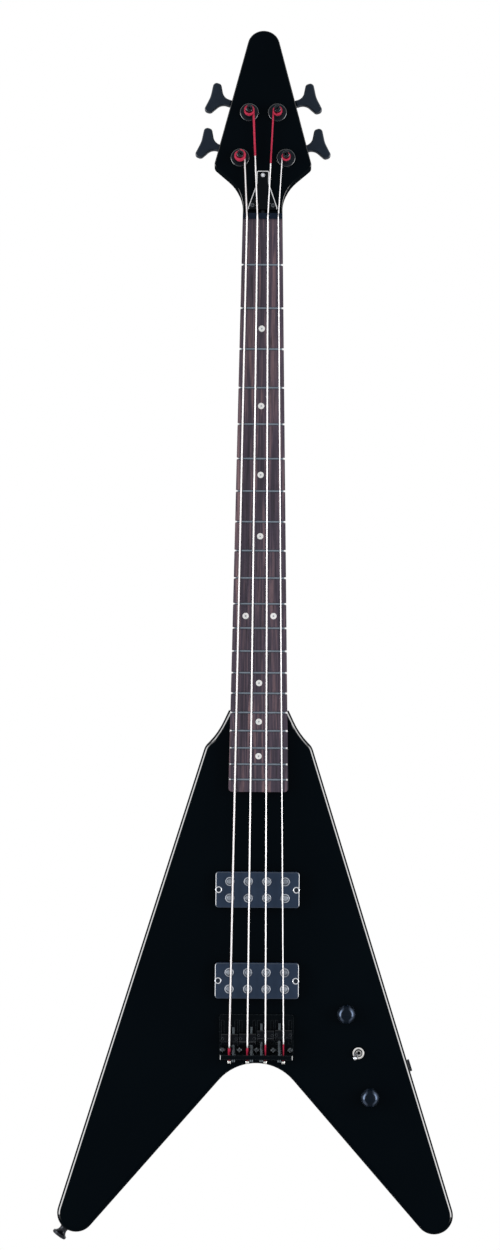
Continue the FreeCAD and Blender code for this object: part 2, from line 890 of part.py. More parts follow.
def make_neck():
    slab = prism(head_outline(), flat_place(-head_thickness), UP * head_thickness)
    rims = []
    for edge in slab.Edges:
        heights = [vertex.Z for vertex in edge.Vertexes]
        tops = [vertex.Y for vertex in edge.Vertexes]
        if max(heights) - min(heights) < same_point and max(tops) > same_point:
            rims.append(edge)
    slab = placed(slab.makeFillet(head_edge_round, rims), head_turn)
    reach = head_flare_half_width + overrun
    split = prism(rectangle(0, head_blend / 2 - overrun / 2, 2 * reach, head_blend + overrun, 0),
                  flat_place(-head_thickness - overrun), UP * (head_thickness + 2 * overrun))
    split = placed(split, head_turn)
    nut_half = nut_width / 2
    nut_oval = oval_section(level_place(nut_thickness), nut_half, neck_depth_nut, neck_power)
    head_oval = oval_section(head_place(head_blend), nut_half + head_blend_widening, head_thickness,
                             head_power)
    blend = Part.makeLoft([nut_oval, head_oval], True, True)
    shaft_end = heel_start - heel_blend
    shaft_oval = oval_section(level_place(-shaft_end), half_width(shaft_end), neck_depth_heel, neck_power)
    heel_oval = oval_section(level_place(-heel_start), half_width(heel_start), heel_depth, head_power)
    shaft = Part.makeLoft([nut_oval, shaft_oval], True, True)
    heel_curve = Part.makeLoft([shaft_oval, heel_oval], True, True)
    heel = prism(heel_corners(heel_start, heel_end, 0), front_place(0), BACK * heel_depth)
    neck = joined(shaft, heel_curve, heel, slab.common(split).common(blend), slab.cut(split))
    channel_length = rod_reach + rod_pocket_start + overrun
    cuts = [Part.makeBox(rod_channel_width, rod_channel_depth + overrun, channel_length,
                         V(-rod_channel_width / 2, -overrun, -rod_reach)),
            Part.makeBox(rod_pocket_width, rod_pocket_depth + overrun, rod_pocket_length,
                         V(-rod_pocket_width / 2, -overrun, rod_pocket_start))]
    for seat in neck_screw_places:
        cuts.append(screw_hole(seat, FRONT, neck_screw_diameter, neck_screw_length))
    for seat, inward in cover_screw_seats:
        cuts.append(screw_hole(seat, inward, small_screw_diameter, small_screw_length))
    return neck.cut(cuts + tuner_cuts())


# Fretboard, frets, markers and nut

board_axis = V(0, board_top + board_radius, 0)


def radius_solid(radius, start, end):
    """Cylinder about the axis of the fretboard's crown, over a stretch below the nut."""
    return Part.makeCylinder(radius, end - start, V(0, board_axis.y, -end), UP)


def board_drop(across):
    """How far the crowned board falls away at this distance from its centre line."""
    return board_radius - math.sqrt(board_radius ** 2 - across ** 2)


def marker_places():
    places = [(0, (fret_at(number) + fret_at(number - 1)) / 2) for number in marker_frets]
    octave = (fret_at(octave_fret_count) + fret_at(octave_fret_count - 1)) / 2
    return places + [(side * octave_marker_spread / 2, octave) for side in (-1, 1)]


def fret_ring(number, fit, crowned):
    """Fret or its slot, turned about the axis of the board's crown."""
    middle = -fret_at(number)
    tang = fret_tang / 2 + fit
    bottom = board_axis.y - board_radius + fret_tang_depth + fit
    top = board_top
    if crowned:
        half = fret_width / 2
        edges = [Part.Arc(V(0, top, middle - half), V(0, top - fret_height, middle),
                          V(0, top, middle + half)).toShape()]
        chain = [V(0, top, middle + half), V(0, top, middle + tang), V(0, bottom, middle + tang),
                 V(0, bottom, middle - tang), V(0, top, middle - tang), V(0, top, middle - half)]
    else:
        edges = []
        chain = [V(0, top - overrun, middle + tang), V(0, bottom, middle + tang),
                 V(0, bottom, middle - tang),
                 V(0, top - overrun, middle - tang), V(0, top - overrun, middle + tang)]
    edges += [Part.LineSegment(first, second).toShape() for first, second in zip(chain, chain[1:])]
    sweep = math.degrees(math.asin((half_width(fret_at(number)) + overrun) / board_radius))
    face = Part.Face(Part.Wire(edges))
    face = face.rotated(board_axis, UP, -sweep)
    return face.revolve(board_axis, UP, 2 * sweep)


def make_fret(number):
    """Crowned wire with its tang, ends filed flush with the board and bevelled."""
    half = half_width(fret_at(number))
    shoulder = board_top + board_drop(half)
    top = board_top - fret_height - overrun
    run = fret_bevel * (shoulder - top) / (fret_height + overrun)
    corners = [(-half, 0, 0), (half, 0, 0), (half, shoulder, 0), (half - run, top, 0),
               (run - half, top, 0), (-half, shoulder, 0)]
    file_stop = prism(corners, flat_place(-fret_at(number) - fret_width), UP * 2 * fret_width)
    return fret_ring(number, 0, True).common(file_stop)


def make_fretboard():
    end_half = half_width(board_end)
    corners = [(-nut_width / 2, 0, 0), (nut_width / 2, 0, 0), (end_half, -board_end, board_corner),
               (-end_half, -board_end, board_corner)]
    board = prism(corners, front_place(0), FRONT * board_thickness)
    board = board.common(radius_solid(board_radius, 0, board_end))
    cuts = [fret_ring(number, slot_clearance, False) for number in range(1, fret_count + 1)]
    cuts += [rod(V(across, board_top + marker_depth, -place), FRONT, marker_diameter + 2 * slot_clearance,
                 marker_depth + overrun) for across, place in marker_places()]
    return board.cut(cuts)


def make_marker(across, place):
    disc = rod(V(across, board_top + marker_depth, -place), FRONT, marker_diameter, marker_depth)
    return disc.common(radius_solid(board_radius, place - marker_diameter, place + marker_diameter))


def string_across(index, spread):
    return evenly(len(string_names), spread)[index]


def nut_level(index):
    """Underside of a string at the nut."""
    across = string_across(index, nut_spread)
    return board_top - fret_height - first_fret_action + board_drop(across)


def make_nut():
    half = nut_width / 2 - nut_side_gap
    top = board_top - fret_height - first_fret_action - nut_stand
    block = Part.makeBox(2 * half, -top, nut_thickness - 2 * nut_seat_gap, V(-half, top, nut_seat_gap))
    crown = Part.makeCylinder(board_radius, nut_thickness + 2 * overrun,
                              V(0, top + board_radius, -overrun), UP)
    cuts = []
    for index, diameter in enumerate(string_diameters):
        across = string_across(index, nut_spread)
        width = diameter + 2 * nut_slot_gap
        floor = nut_level(index) + nut_slot_gap
        fall = math.tan(head_angle + nut_slot_relief) * (nut_thickness + overrun - nut_break_at)
        sky = top - overrun
        corners = [(sky, -overrun, 0), (floor, -overrun, 0), (floor, nut_break_at, 0),
                   (floor + fall, nut_thickness + overrun, 0), (sky, nut_thickness + overrun, 0)]
        cuts.append(prism(corners, side_place(across - width / 2), RIGHT * width))
    return block.common(crown).cut(cuts)


# Truss rod, its nut and the cover over it

def make_truss_rod():
    """Round rod with a flat bar above it, joined by a block at each end."""
    bar_width = rod_channel_width - 2 * rod_fit
    bar_depth = rod_level - rod_diameter / 2 - 2 * rod_fit
    low_corner = V(-bar_width / 2, rod_fit, rod_fit - rod_reach)
    bar = Part.makeBox(bar_width, bar_depth, rod_reach - rod_fit, low_corner)
    block_depth = rod_channel_depth - 2 * rod_fit
    foot = Part.makeBox(bar_width, block_depth, rod_block_length, low_corner)
    head = Part.makeBox(bar_width, block_depth, rod_block_length,
                        V(-bar_width / 2, rod_fit, rod_pocket_start - rod_fit - rod_block_length))
    round_rod = rod(V(0, rod_level, rod_fit - rod_reach), UP, rod_diameter,
                    rod_reach + rod_nut_start + rod_nut_length - rod_nut_key_depth - 2 * rod_nut_gap)
    return joined(round_rod, bar, foot, head)


def make_truss_rod_nut():
    nut = rod(V(0, rod_level, rod_nut_start), UP, rod_nut_diameter, rod_nut_length)
    bore = rod(V(0, rod_level, rod_nut_start - overrun), UP, rod_diameter + 2 * post_fit,
               rod_nut_length - rod_nut_key_depth + overrun)
    socket_floor = V(0, rod_level, rod_nut_start + rod_nut_length - rod_nut_key_depth)
    socket = hexagon(rod_nut_key, socket_floor).extrude(UP * (rod_nut_key_depth + overrun))
    return nut.cut([bore, socket])


cover_finish = cover_start + cover_length
cover_screw_flat_places = ((0, cover_finish - cover_screw_inset),
                           (-cover_screw_spread / 2, cover_start + cover_screw_inset),
                           (cover_screw_spread / 2, cover_start + cover_screw_inset))
cover_screw_seats = [(head_point(across, along, cover_thickness), head_out * -1)
                     for across, along in cover_screw_flat_places]


def make_truss_rod_cover():
    bottom = cover_bottom_width / 2
    top = cover_top_width / 2
    corners = [(bottom, cover_start, 0), (bottom, cover_start + cover_screw_inset / 2, 0),
               (top, cover_waist_at, 0), (top, cover_finish, cover_corner),
               (-top, cover_finish, cover_corner),
               (-top, cover_waist_at, 0), (-bottom, cover_start + cover_screw_inset / 2, 0),
               (-bottom, cover_start, 0)]
    cover = placed(prism(corners, flat_place(0), UP * cover_thickness), head_turn)
    return cover.cut([small_screw_hole(seat, inward) for seat, inward in cover_screw_seats])


# Neck plate

def make_neck_plate():
    corners = rectangle(0, -plate_middle, plate_width, plate_height, plate_corner)
    plate = prism(corners, front_place(body_back), BACK * plate_thickness)
    return plate.cut([screw_hole(seat, FRONT, neck_screw_diameter, neck_screw_length)
                      for seat in neck_screw_places])


# Tuning machines, each laid out about its post: first axis out along the key shaft, second towards the tip
# of the headstock, third out of the face. The left-hand machines are mirror images of the right-hand ones.

tuner_sites = {"e": (-1, post_lower_x, post_lower_v), "a": (-1, post_upper_x, post_upper_v),
               "d": (1, post_upper_x, post_upper_v), "g": (1, post_lower_x, post_lower_v)}
gear_radius = gear_module * gear_teeth / 2
gear_tip = gear_radius + gear_module * gear_tip_share
gear_root = gear_radius - gear_module * gear_root_share
gear_pitch = math.pi * gear_module
worm_tip = worm_radius + gear_module * worm_tip_share
worm_root = worm_radius - gear_module * gear_root_share
worm_distance = gear_radius + worm_radius
worm_half = gear_pitch * worm_turns / 2 + worm_shoulder
plate_back = -head_thickness - tuner_plate_thickness
gear_front = plate_back - gear_float
gear_back = gear_front - gear_width
gear_middle = (gear_front + gear_back) / 2
ear_start = worm_half + ear_gap
tuner_plate_middle = V(tuner_plate_shift, worm_distance / 2, 0)
tuner_plate_width = worm_distance + 2 * tuner_plate_margin
tuner_screw_flat = [(tuner_plate_middle.x + side * (tuner_plate_length / 2 - tuner_plate_corner),
                     tuner_plate_middle.y + end * (tuner_plate_width / 2 - tuner_plate_corner))
                    for side in (-1, 1) for end in (-1, 1)]


def at_tuner(name, shape):
    """Moves a piece laid out about a right-hand post to its place on the headstock."""
    side, across, along = tuner_sites[name]
    turn = FreeCAD.Placement(V(across, along, 0), FreeCAD.Rotation(UP, math.degrees(head_taper) + key_lean))
    moved = placed(shape, head_turn.multiply(turn))
    return mirrored(moved) if side < 0 else moved


def make_post():
    """Post with a waist for the string, a slotted cap with a centre hole, and a stem for the gear."""
    barrel = rod(V(0, 0, -head_thickness + post_fit), UP, post_diameter,
                 head_thickness + ferrule_height - post_fit)
    waist = rod(V(0, 0, ferrule_height), UP, post_waist, post_height - ferrule_height)
    cap = rod(V(0, 0, post_height - post_cap_height), UP, post_cap, post_cap_height)
    cap = cap.makeFillet(post_cap_round, [edge for edge in cap.Edges if edge.Closed])
    stem = rod(V(0, 0, gear_back), UP, post_stem, -gear_back - head_thickness + post_fit)
    post = joined(barrel, waist, cap, stem)
    hole = rod(V(0, 0, 0), UP, post_hole, post_height + overrun)
    slot = Part.makeBox(post_cap + 2 * overrun, post_slot, post_slot_depth + overrun,
                        V(-post_cap / 2 - overrun, -post_slot / 2, post_height - post_slot_depth))
    tapped = rod(V(0, 0, gear_back - overrun), UP, gear_screw_shank + 2 * screw_fit,
                 gear_screw_bite + overrun)
    return post.cut([hole, slot, tapped])


def gear_outline(level, twist):
    slope = math.tan(math.radians(flank_angle) - gear_tooth_share * gear_pitch / 2 / gear_radius)
    half = gear_tooth_share * gear_pitch / 2
    root_half = (half + (gear_radius - gear_root) * slope) / gear_root
    tip_half = (half - (gear_tip - gear_radius) * slope) / gear_tip
    points = []
    for tooth in range(gear_teeth):
        middle = math.pi / 2 + twist + math.pi * (2 * tooth + 1) / gear_teeth
        for radius, turn in ((gear_root, -root_half), (gear_tip, -tip_half), (gear_tip, tip_half),
                             (gear_root, root_half)):
            points.append(V(radius * math.cos(middle + turn), radius * math.sin(middle + turn), level))
    return Part.makePolygon(points + points[:1])


def make_gear():
    """Worm wheel whose teeth lean by the lead of the worm, a tooth space facing the worm."""
    lead = gear_pitch / (2 * math.pi * worm_radius)
    twist = gear_width / 2 * lead / gear_radius
    wheel = Part.makeLoft([gear_outline(gear_back, -twist), gear_outline(gear_front, twist)], True, True)
    bore = rod(V(0, 0, gear_back - overrun), UP, post_stem + 2 * gear_bore_fit, gear_width + 2 * overrun)
    return wheel.cut(bore)


def make_gear_screw():
    seat = V(0, 0, gear_back)
    return screw(seat, UP, gear_screw_shank, gear_screw_bite - screw_fit, gear_screw_head,
                 gear_screw_height, False)


def make_worm_shaft():
    """Shaft that runs in the two ears, with a one-start worm between them."""
    length = gear_pitch * worm_turns
    slope = math.tan(math.radians(flank_angle))
    tip_half = gear_pitch * worm_thread_share / 2 - (worm_tip - worm_radius) * slope
    sunk = worm_root - worm_thread_sink
    root_half = gear_pitch * worm_thread_share / 2 + (worm_radius - sunk) * slope
    profile = Part.makePolygon([V(sunk, 0, -root_half), V(worm_tip, 0, -tip_half), V(worm_tip, 0, tip_half),
                                V(sunk, 0, root_half), V(sunk, 0, -root_half)])
    helix = Part.makeHelix(gear_pitch, length, worm_radius)
    thread = Part.Wire(helix.Edges).makePipeShell([profile], True, True)
    core = rod(V(0, 0, length / 2 - worm_half), UP, 2 * worm_root, 2 * worm_half)
    inner_end = ear_start + ear_thickness + ear_gap
    outer_end = key_start + key_reach * key_shaft_share
    shaft = rod(V(0, 0, length / 2 - inner_end), UP, key_shaft_diameter, inner_end + outer_end)
    worm = joined(core, shaft, thread)
    lay_down = FreeCAD.Placement(FreeCAD.Matrix(
        0, 0, 1, -length / 2,
        -1, 0, 0, worm_distance,
        0, -1, 0, gear_middle,
        0, 0, 0, 1))
    return placed(worm, lay_down)


def make_key_button():
    """Flat key with two round lobes and a waisted stem, square to the shaft."""
    lobe_at = key_start + key_reach
    reach = key_lobe_spread / 2 + key_lobe_radius
    stem = key_stem_width / 2
    half = [(key_start, -stem, key_stem_corner),
            (key_start + key_reach * key_inner_at_share, -stem, key_inner_radius),
            (lobe_at - key_lobe_radius * key_inner_half_share, -reach, key_lobe_corner),
            (lobe_at + key_lobe_radius, -reach, key_lobe_corner)]
    dip = [(lobe_at + key_lobe_radius - key_outer_dip, 0, key_outer_radius)]
    other = [(along, -across, radius) for along, across, radius in reversed(half)]
    corners = [(along, across + worm_distance, radius) for along, across, radius in half + dip + other]
    key = prism(corners, flat_place(gear_middle - key_thickness / 2), UP * key_thickness)
    rims = []
    for edge in key.Edges:
        heights = [vertex.Z for vertex in edge.Vertexes]
        if max(heights) - min(heights) < same_point:
            rims.append(edge)
    key = key.makeFillet(key_round, rims)
    depth = key_reach * key_shaft_share + key_fit
    bore = rod(V(key_start - overrun, worm_distance, gear_middle), RIGHT, key_shaft_diameter + 2 * key_fit,
               depth + overrun)
    return key.cut(bore)


def make_tuner_plate():
    """Base plate with two ears that carry the worm shaft."""
    plate = prism(rectangle(tuner_plate_middle.x, tuner_plate_middle.y, tuner_plate_length, tuner_plate_width,
                            tuner_plate_corner), flat_place(plate_back), UP * tuner_plate_thickness)
    ears = []
    for start in (ear_start, -ear_start - ear_thickness):
        leg = Part.makeBox(ear_thickness, ear_width, plate_back - gear_middle + tuner_plate_thickness / 2,
                           V(start, worm_distance - ear_width / 2, gear_middle))
        eye = rod(V(start, worm_distance, gear_middle), RIGHT, ear_width, ear_thickness)
        ears += [leg, eye]
    plate = joined(plate, *ears)
    cuts = [rod(V(0, 0, plate_back - overrun), UP, post_stem + 2 * post_fit,
                tuner_plate_thickness + 2 * overrun),
            rod(V(-ear_start - ear_thickness - overrun, worm_distance, gear_middle), RIGHT,
                key_shaft_diameter + 2 * key_fit, 2 * (ear_start + ear_thickness + overrun))]
    cuts += [small_screw_hole(V(across, along, plate_back), UP) for across, along in tuner_screw_flat]
    return plate.cut(cuts)


def make_ferrule():
    flange = rod(ORIGIN, UP, ferrule_diameter, ferrule_height)
    rim = [edge for edge in flange.Edges if edge.Closed and edge.CenterOfMass.z > ferrule_height / 2]
    flange = flange.makeFillet(ferrule_round, rim)
    sleeve = rod(V(0, 0, -ferrule_sleeve_depth), UP, ferrule_sleeve, ferrule_sleeve_depth)
    bore = rod(V(0, 0, -ferrule_sleeve_depth - overrun), UP, post_diameter + 2 * post_fit,
               ferrule_sleeve_depth + ferrule_height + 2 * overrun)
    return joined(flange, sleeve).cut(bore)


def tuner_cuts():
    """Holes in the headstock for the ferrules, posts and plate screws."""
    sleeve = rod(V(0, 0, -ferrule_sleeve_depth), UP, ferrule_sleeve + 2 * screw_fit,
                 ferrule_sleeve_depth + overrun)
    through = rod(V(0, 0, -head_thickness - overrun), UP, post_diameter + 2 * post_hole_gap,
                  head_thickness + overrun)
    holes = [sleeve, through]
    holes += [screw_hole(V(across, along, plate_back), UP, small_screw_diameter, small_screw_length)
              for across, along in tuner_screw_flat]
    return [at_tuner(name, hole) for name in string_names for hole in holes]


def make_tuners():
    post = make_post()
    gear = make_gear()
    gear_screw = make_gear_screw()
    worm_shaft = make_worm_shaft()
    key_button = make_key_button()
    plate = make_tuner_plate()
    ferrule = make_ferrule()
    for name in string_names:
        save("tuner_post_" + name, at_tuner(name, post))
        save("tuner_gear_" + name, at_tuner(name, gear), at_tuner(name, gear_screw))
        save("tuner_key_" + name, at_tuner(name, worm_shaft), at_tuner(name, key_button))
    save("tuner_plates", *[at_tuner(name, plate) for name in string_names])
    save("tuner_ferrules", *[at_tuner(name, ferrule) for name in string_names])


tuner_screws = [at_tuner(name, small_screw(V(across, along, plate_back), UP))
                for name in string_names for across, along in tuner_screw_flat]


# Strings: straight from the ball end to the post, then wound up its waist

wall_face = bridge_back - bridge_wall
string_hole_level = body_front - string_hole_height


def crown_level(index):
    """Underside of a string on its saddle."""
    rise = first_fret_action + 2 * (octave_action - first_fret_action)
    return board_top - fret_height - rise + board_drop(string_across(index, bridge_spread))


def saddle_at(index):
    return scale_length + string_setbacks[index]


def winding_path(index, nut_point):
    """Where the string meets its post, and the edges of its turns. Left-hand posts are mirrored."""
    side, across, along = tuner_sites[string_names[index]]
    diameter = string_diameters[index]
    radius = post_waist / 2 + winding_fit + diameter / 2
    start_height = ferrule_height + winding_floor + diameter / 2
    pitch = diameter + turn_gap
    offset = nut_point - head_foot
    start = V(side * offset.x, offset.dot(head_up), offset.dot(head_out))
    span = V(across - start.x, along - start.y, 0)
    run = math.sqrt(span.Length ** 2 - radius ** 2)
    aim = math.atan2(span.y, span.x) + math.asin(radius / span.Length)
    touch = V(start.x + run * math.cos(aim), start.y + run * math.sin(aim), start_height)
    touch_angle = aim + math.pi / 2
    heading = (touch - start).normalize()
    rise = pitch / (2 * math.pi)

    def on_turn(angle):
        """Point and heading after winding this far past the touch point, clockwise seen from the front."""
        at = touch_angle - angle
        point = V(across + radius * math.cos(at), along + radius * math.sin(at), start_height + rise * angle)
        return point, V(radius * math.sin(at), -radius * math.cos(at), rise).normalize()

    def world(point):
        return head_point(side * point.x, point.y, point.z)

    def world_heading(direction):
        return (V(side * direction.x, 0, 0) + head_up * direction.y + head_out * direction.z).normalize()

    quarter = math.pi / 2
    knots = [(touch, heading)]
    total = string_turns[index] * 2 * math.pi
    quarters = round(total / quarter)
    knots += [on_turn(total * step / quarters) for step in range(1, quarters + 1)]
    edges = []
    for (first, first_heading), (second, second_heading) in zip(knots, knots[1:]):
        edges += biarc(world(first), world_heading(first_heading),
                       world(second), world_heading(second_heading))
    last, last_heading = knots[-1]
    edges.append(Part.LineSegment(world(last), world(last + last_heading * diameter)).toShape())
    return world(touch), edges


def make_string(index):
    diameter = string_diameters[index]
    bridge_across = string_across(index, bridge_spread)
    nut_point = V(string_across(index, nut_spread), nut_level(index) - diameter / 2, nut_break_at)
    crown = V(bridge_across, crown_level(index) - diameter / 2, -saddle_at(index))
    speaking = (crown - nut_point).normalize()
    break_point = crown + speaking * (saddle_back_travel + string_break_reach)
    ball = V(break_point.x, string_hole_level, -bridge_back - ball_diameter / 2 - string_contact_gap)
    wall_point = V(break_point.x, string_hole_level, -wall_face + string_wall_lead)
    touch, turns = winding_path(index, nut_point)
    straight = rounded_path([ball, wall_point, break_point, nut_point, touch], string_bend)
    print(f"string {string_names[index]}: least gap between turns {least_gap(turns, diameter):.3f}")
    wire = tube(straight + turns, diameter)
    spool = rod(ball - RIGHT * (ball_length / 2), RIGHT, ball_diameter, ball_length)
    return [wire.cut(spool), spool]


# Bridge

bridge_level = body_front - intonation_height


def intonation_across(index):
    across = string_across(index, bridge_spread)
    return across - math.copysign(intonation_offset, across)


def grub_places(index):
    across = string_across(index, bridge_spread)
    return [across + side * (saddle_width / 2 - saddle_grub_inset) for side in (-1, 1)]


def make_bridge_plate():
    """Flat plate with an upright end wall that the strings and intonation screws pass through."""
    middle = -(bridge_front + bridge_back) / 2
    plate = prism(rectangle(0, middle, bridge_width, bridge_back - bridge_front, bridge_corner),
                  front_place(body_front), FRONT * bridge_thickness)
    wall_corners = rectangle(0, body_front - bridge_wall_height / 2, bridge_width, bridge_wall_height,
                             bridge_corner)
    wall = prism(wall_corners, flat_place(-bridge_back), UP * bridge_wall)
    wall = wall.fuse(Part.makeBox(bridge_width, bridge_thickness, bridge_wall,
                                  V(-bridge_width / 2, bridge_top, -bridge_back)))
    shape = joined(plate, wall)
    cuts = [screw_hole(seat, BACK, bridge_screw_diameter, bridge_screw_length)
            for seat in bridge_screw_places]
    start = V(0, 0, -bridge_back - overrun)
    depth = bridge_wall + 2 * overrun
    groove_end = scale_length + bridge_groove_behind
    for index, diameter in enumerate(string_diameters):
        across = string_across(index, bridge_spread)
        cuts.append(rod(start + V(across, string_hole_level, 0), UP, diameter + 2 * string_hole_fit, depth))
        cuts.append(rod(start + V(intonation_across(index), bridge_level, 0), UP,
                        intonation_diameter + 2 * intonation_fit, depth))
        for place in grub_places(index):
            corner = V(place - bridge_groove_width / 2, bridge_top - overrun, -groove_end)
            cuts.append(Part.makeBox(bridge_groove_width, bridge_groove_depth + overrun,
                                     groove_end - bridge_front - bridge_groove_start, corner))
    return shape.cut(cuts)


def make_saddle(index):
    """Block with a grooved crown, standing on two height screws."""
    across = string_across(index, bridge_spread)
    diameter = string_diameters[index]
    top = crown_level(index) - saddle_groove_depth
    floor = bridge_top - saddle_clearance
    at = -saddle_at(index)
    corners = [(floor, at + saddle_ahead, saddle_round), (floor, at - saddle_behind, saddle_round),
               (top + saddle_behind, at - saddle_behind, saddle_round), (top, at, 0),
               (top + saddle_slope_drop, at + saddle_ahead, saddle_round)]
    block = prism(corners, side_place(across - saddle_width / 2), RIGHT * saddle_width)
    groove = diameter / 2 + saddle_groove_fit
    groove_level = crown_level(index) + string_contact_gap - groove
    length = saddle_ahead + saddle_behind + 2 * overrun
    back = at - saddle_behind - overrun
    cuts = [rod(V(across, groove_level, back), UP, 2 * groove, length),
            rod(V(intonation_across(index), bridge_level, back), UP,
                intonation_diameter + 2 * intonation_fit, length)]
    grubs = []
    grub_floor = bridge_top + bridge_groove_depth - string_contact_gap
    grub_top = top + saddle_slope_drop * saddle_grub_ahead / saddle_ahead + saddle_grub_sink
    for place in grub_places(index):
        seat = V(place, grub_floor, at + saddle_grub_ahead)
        cuts.append(rod(seat, FRONT, saddle_grub_diameter + 2 * intonation_fit, grub_floor - top + overrun))
        grubs.append(rod(seat, FRONT, saddle_grub_diameter, grub_floor - grub_top))
    return [block.cut(cuts)] + grubs


def make_intonation_screw(index):
    across = intonation_across(index)
    head_front = -bridge_back - string_contact_gap
    tip = -saddle_at(index) + saddle_ahead + intonation_tip
    shank = rod(V(across, bridge_level, head_front), UP, intonation_diameter, tip - head_front)
    head = rod(V(across, bridge_level, head_front), DOWN, intonation_head, intonation_head_height)
    slot = Part.makeBox(intonation_head + 2 * overrun, intonation_slot,
                        intonation_head_height / 2 + overrun,
                        V(across - intonation_head / 2 - overrun, bridge_level - intonation_slot / 2,
                          head_front - intonation_head_height - overrun))
    return joined(shank, head).cut(slot)


def make_spring(index):
    """Coil between the end wall and the saddle, its ends turned straight along the screw."""
    start = -wall_face + spring_end_gap
    end = -saddle_at(index) - saddle_behind - spring_end_gap
    radius = (spring_diameter - spring_wire) / 2
    across = intonation_across(index)
    lead = 2 * spring_wire
    pitch = (end - start - 2 * spring_wire - 2 * lead) / (spring_curls - spring_seat_curls)
    rise = pitch / (2 * math.pi)
    total = spring_curls * 2 * math.pi
    quarter = math.pi / 2

    def on_coil(angle, height):
        return V(across + radius * math.cos(angle), bridge_level + radius * math.sin(angle), height)

    def coil_heading(angle):
        return V(-radius * math.sin(angle), radius * math.cos(angle), rise).normalize()

    first = start + spring_wire + lead
    knots = [(on_coil(0, start + spring_wire), UP)]
    steps = round((total - math.pi) / math.pi)
    for step in range(steps + 1):
        angle = quarter + (total - math.pi) * step / steps
        knots.append((on_coil(angle, first + rise * (angle - quarter)), coil_heading(angle)))
    knots.append((on_coil(total, end - spring_wire), UP))
    edges = [Part.LineSegment(on_coil(0, start), knots[0][0]).toShape()]
    for (here, heading), (there, next_heading) in zip(knots, knots[1:]):
        edges += biarc(here, heading, there, next_heading)
    edges.append(Part.LineSegment(knots[-1][0], on_coil(total, end)).toShape())
    print(f"spring {string_names[index]}: least gap between curls {least_gap(edges, spring_wire):.3f}")
    return tube(edges, spring_wire)


# Pickups: a moulded cover, pole discs flush in its top, and two height screws

def pole_places(place):
    return [(across, up - place) for across in evenly(pole_columns, pole_spread)
            for up in evenly(pole_rows, pole_row_gap)]


def make_pickup(number):
    place = pickup_places[number]
    cover = prism(rectangle(0, -place, pickup_length, pickup_width, pickup_corner), front_place(pickup_top),
                  BACK * pickup_height)
    rims = []
    for edge in cover.Edges:
        if all(abs(vertex.Y - pickup_top) < same_point for vertex in edge.Vertexes):
            rims.append(edge)
    cover = cover.makeFillet(pickup_top_round, rims)
    cuts = []
    poles = []
    for across, up in pole_places(place):
        foot = V(across, pickup_top + pole_depth, up)
        cuts.append(rod(foot, FRONT, pole_diameter + 2 * screw_fit, pole_depth + overrun))
        pole = rod(foot, FRONT, pole_diameter, pole_depth + pole_proud)
        rim = [edge for edge in pole.Edges if edge.Closed and edge.CenterOfMass.y < pickup_top]
        poles.append(pole.makeFillet(pole_round, rim))
    screws = []
    for seat in pickup_screw_places[number]:
        cuts.append(rod(seat, FRONT, pickup_screw_recess, pickup_screw_head_height + overrun))
        cuts.append(screw_hole(seat, BACK, pickup_screw_diameter, pickup_height))
        screws.append(screw(seat, BACK, pickup_screw_diameter, pickup_screw_length, pickup_screw_head,
                            pickup_screw_head_height, False))
    return [cover.cut(cuts)] + poles + screws


def make_foam(number):
    depth = cavity_floor - pickup_floor - foam_gap
    corner = V(-foam_length / 2, pickup_floor + foam_gap, -pickup_places[number] - foam_width / 2)
    return Part.makeBox(foam_length, depth, foam_width, corner)


# Controls, each laid out with its third axis out of the front of the body

def at_control(place, shape):
    return placed(shape, FreeCAD.Placement(V(place.x, body_front, place.y), FreeCAD.Rotation(RIGHT, 90)))


def make_pot():
    """Round can under the skin of the body, with a bushing up through it."""
    can = rod(V(0, 0, -cavity_skin - pot_body_depth), UP, pot_body_diameter, pot_body_depth)
    bushing = rod(V(0, 0, -cavity_skin), UP, pot_bushing_diameter,
                  cavity_skin + pot_nut_thickness + pot_nut_gap)
    bore = rod(V(0, 0, -cavity_skin - pot_shaft_sink), UP, pot_shaft_diameter + 2 * pot_shaft_fit,
               cavity_skin + pot_shaft_sink + pot_nut_thickness + overrun)
    return joined(can, bushing).cut(bore)


def make_pot_nut():
    nut = hexagon(pot_nut_across, ORIGIN).extrude(UP * pot_nut_thickness)
    return nut.cut(rod(V(0, 0, -overrun), UP, pot_bushing_diameter + 2 * screw_fit,
                       pot_nut_thickness + 2 * overrun))


def make_knob():
    """Domed knob, hollowed beneath to clear the nut, and the shaft it is pushed on."""
    base = knob_gap
    top = knob_gap + knob_height
    radius = knob_diameter / 2
    shoulder = top - knob_height * knob_dome_share
    neck = radius * knob_taper_share
    rise = top - shoulder
    dome = (neck ** 2 + rise ** 2) / (2 * rise)
    half = math.asin(neck / dome) / 2
    on_dome = V(dome * math.sin(half), 0, top - dome + dome * math.cos(half))
    edges = [Part.LineSegment(V(0, 0, base), V(radius, 0, base)).toShape(),
             Part.LineSegment(V(radius, 0, base), V(neck, 0, shoulder)).toShape(),
             Part.Arc(V(neck, 0, shoulder), on_dome, V(0, 0, top)).toShape(),
             Part.LineSegment(V(0, 0, top), V(0, 0, base)).toShape()]
    knob = Part.Face(Part.Wire(edges)).revolve(ORIGIN, UP, 360)
    recess = rod(V(0, 0, base - overrun), UP, knob_recess, knob_recess_depth + overrun)
    bore = rod(V(0, 0, base - overrun), UP, pot_shaft_diameter + 2 * pot_shaft_fit,
               knob_bore_depth + overrun)
    start = -cavity_skin - pot_shaft_sink + pot_shaft_fit
    shaft = rod(V(0, 0, start), UP, pot_shaft_diameter, base + knob_bore_depth - pot_shaft_fit - start)
    return knob.cut([recess, bore]), shaft


lever_pivot = switch_bushing_proud - lever_sink
lever_ball = lever_root_diameter / 2


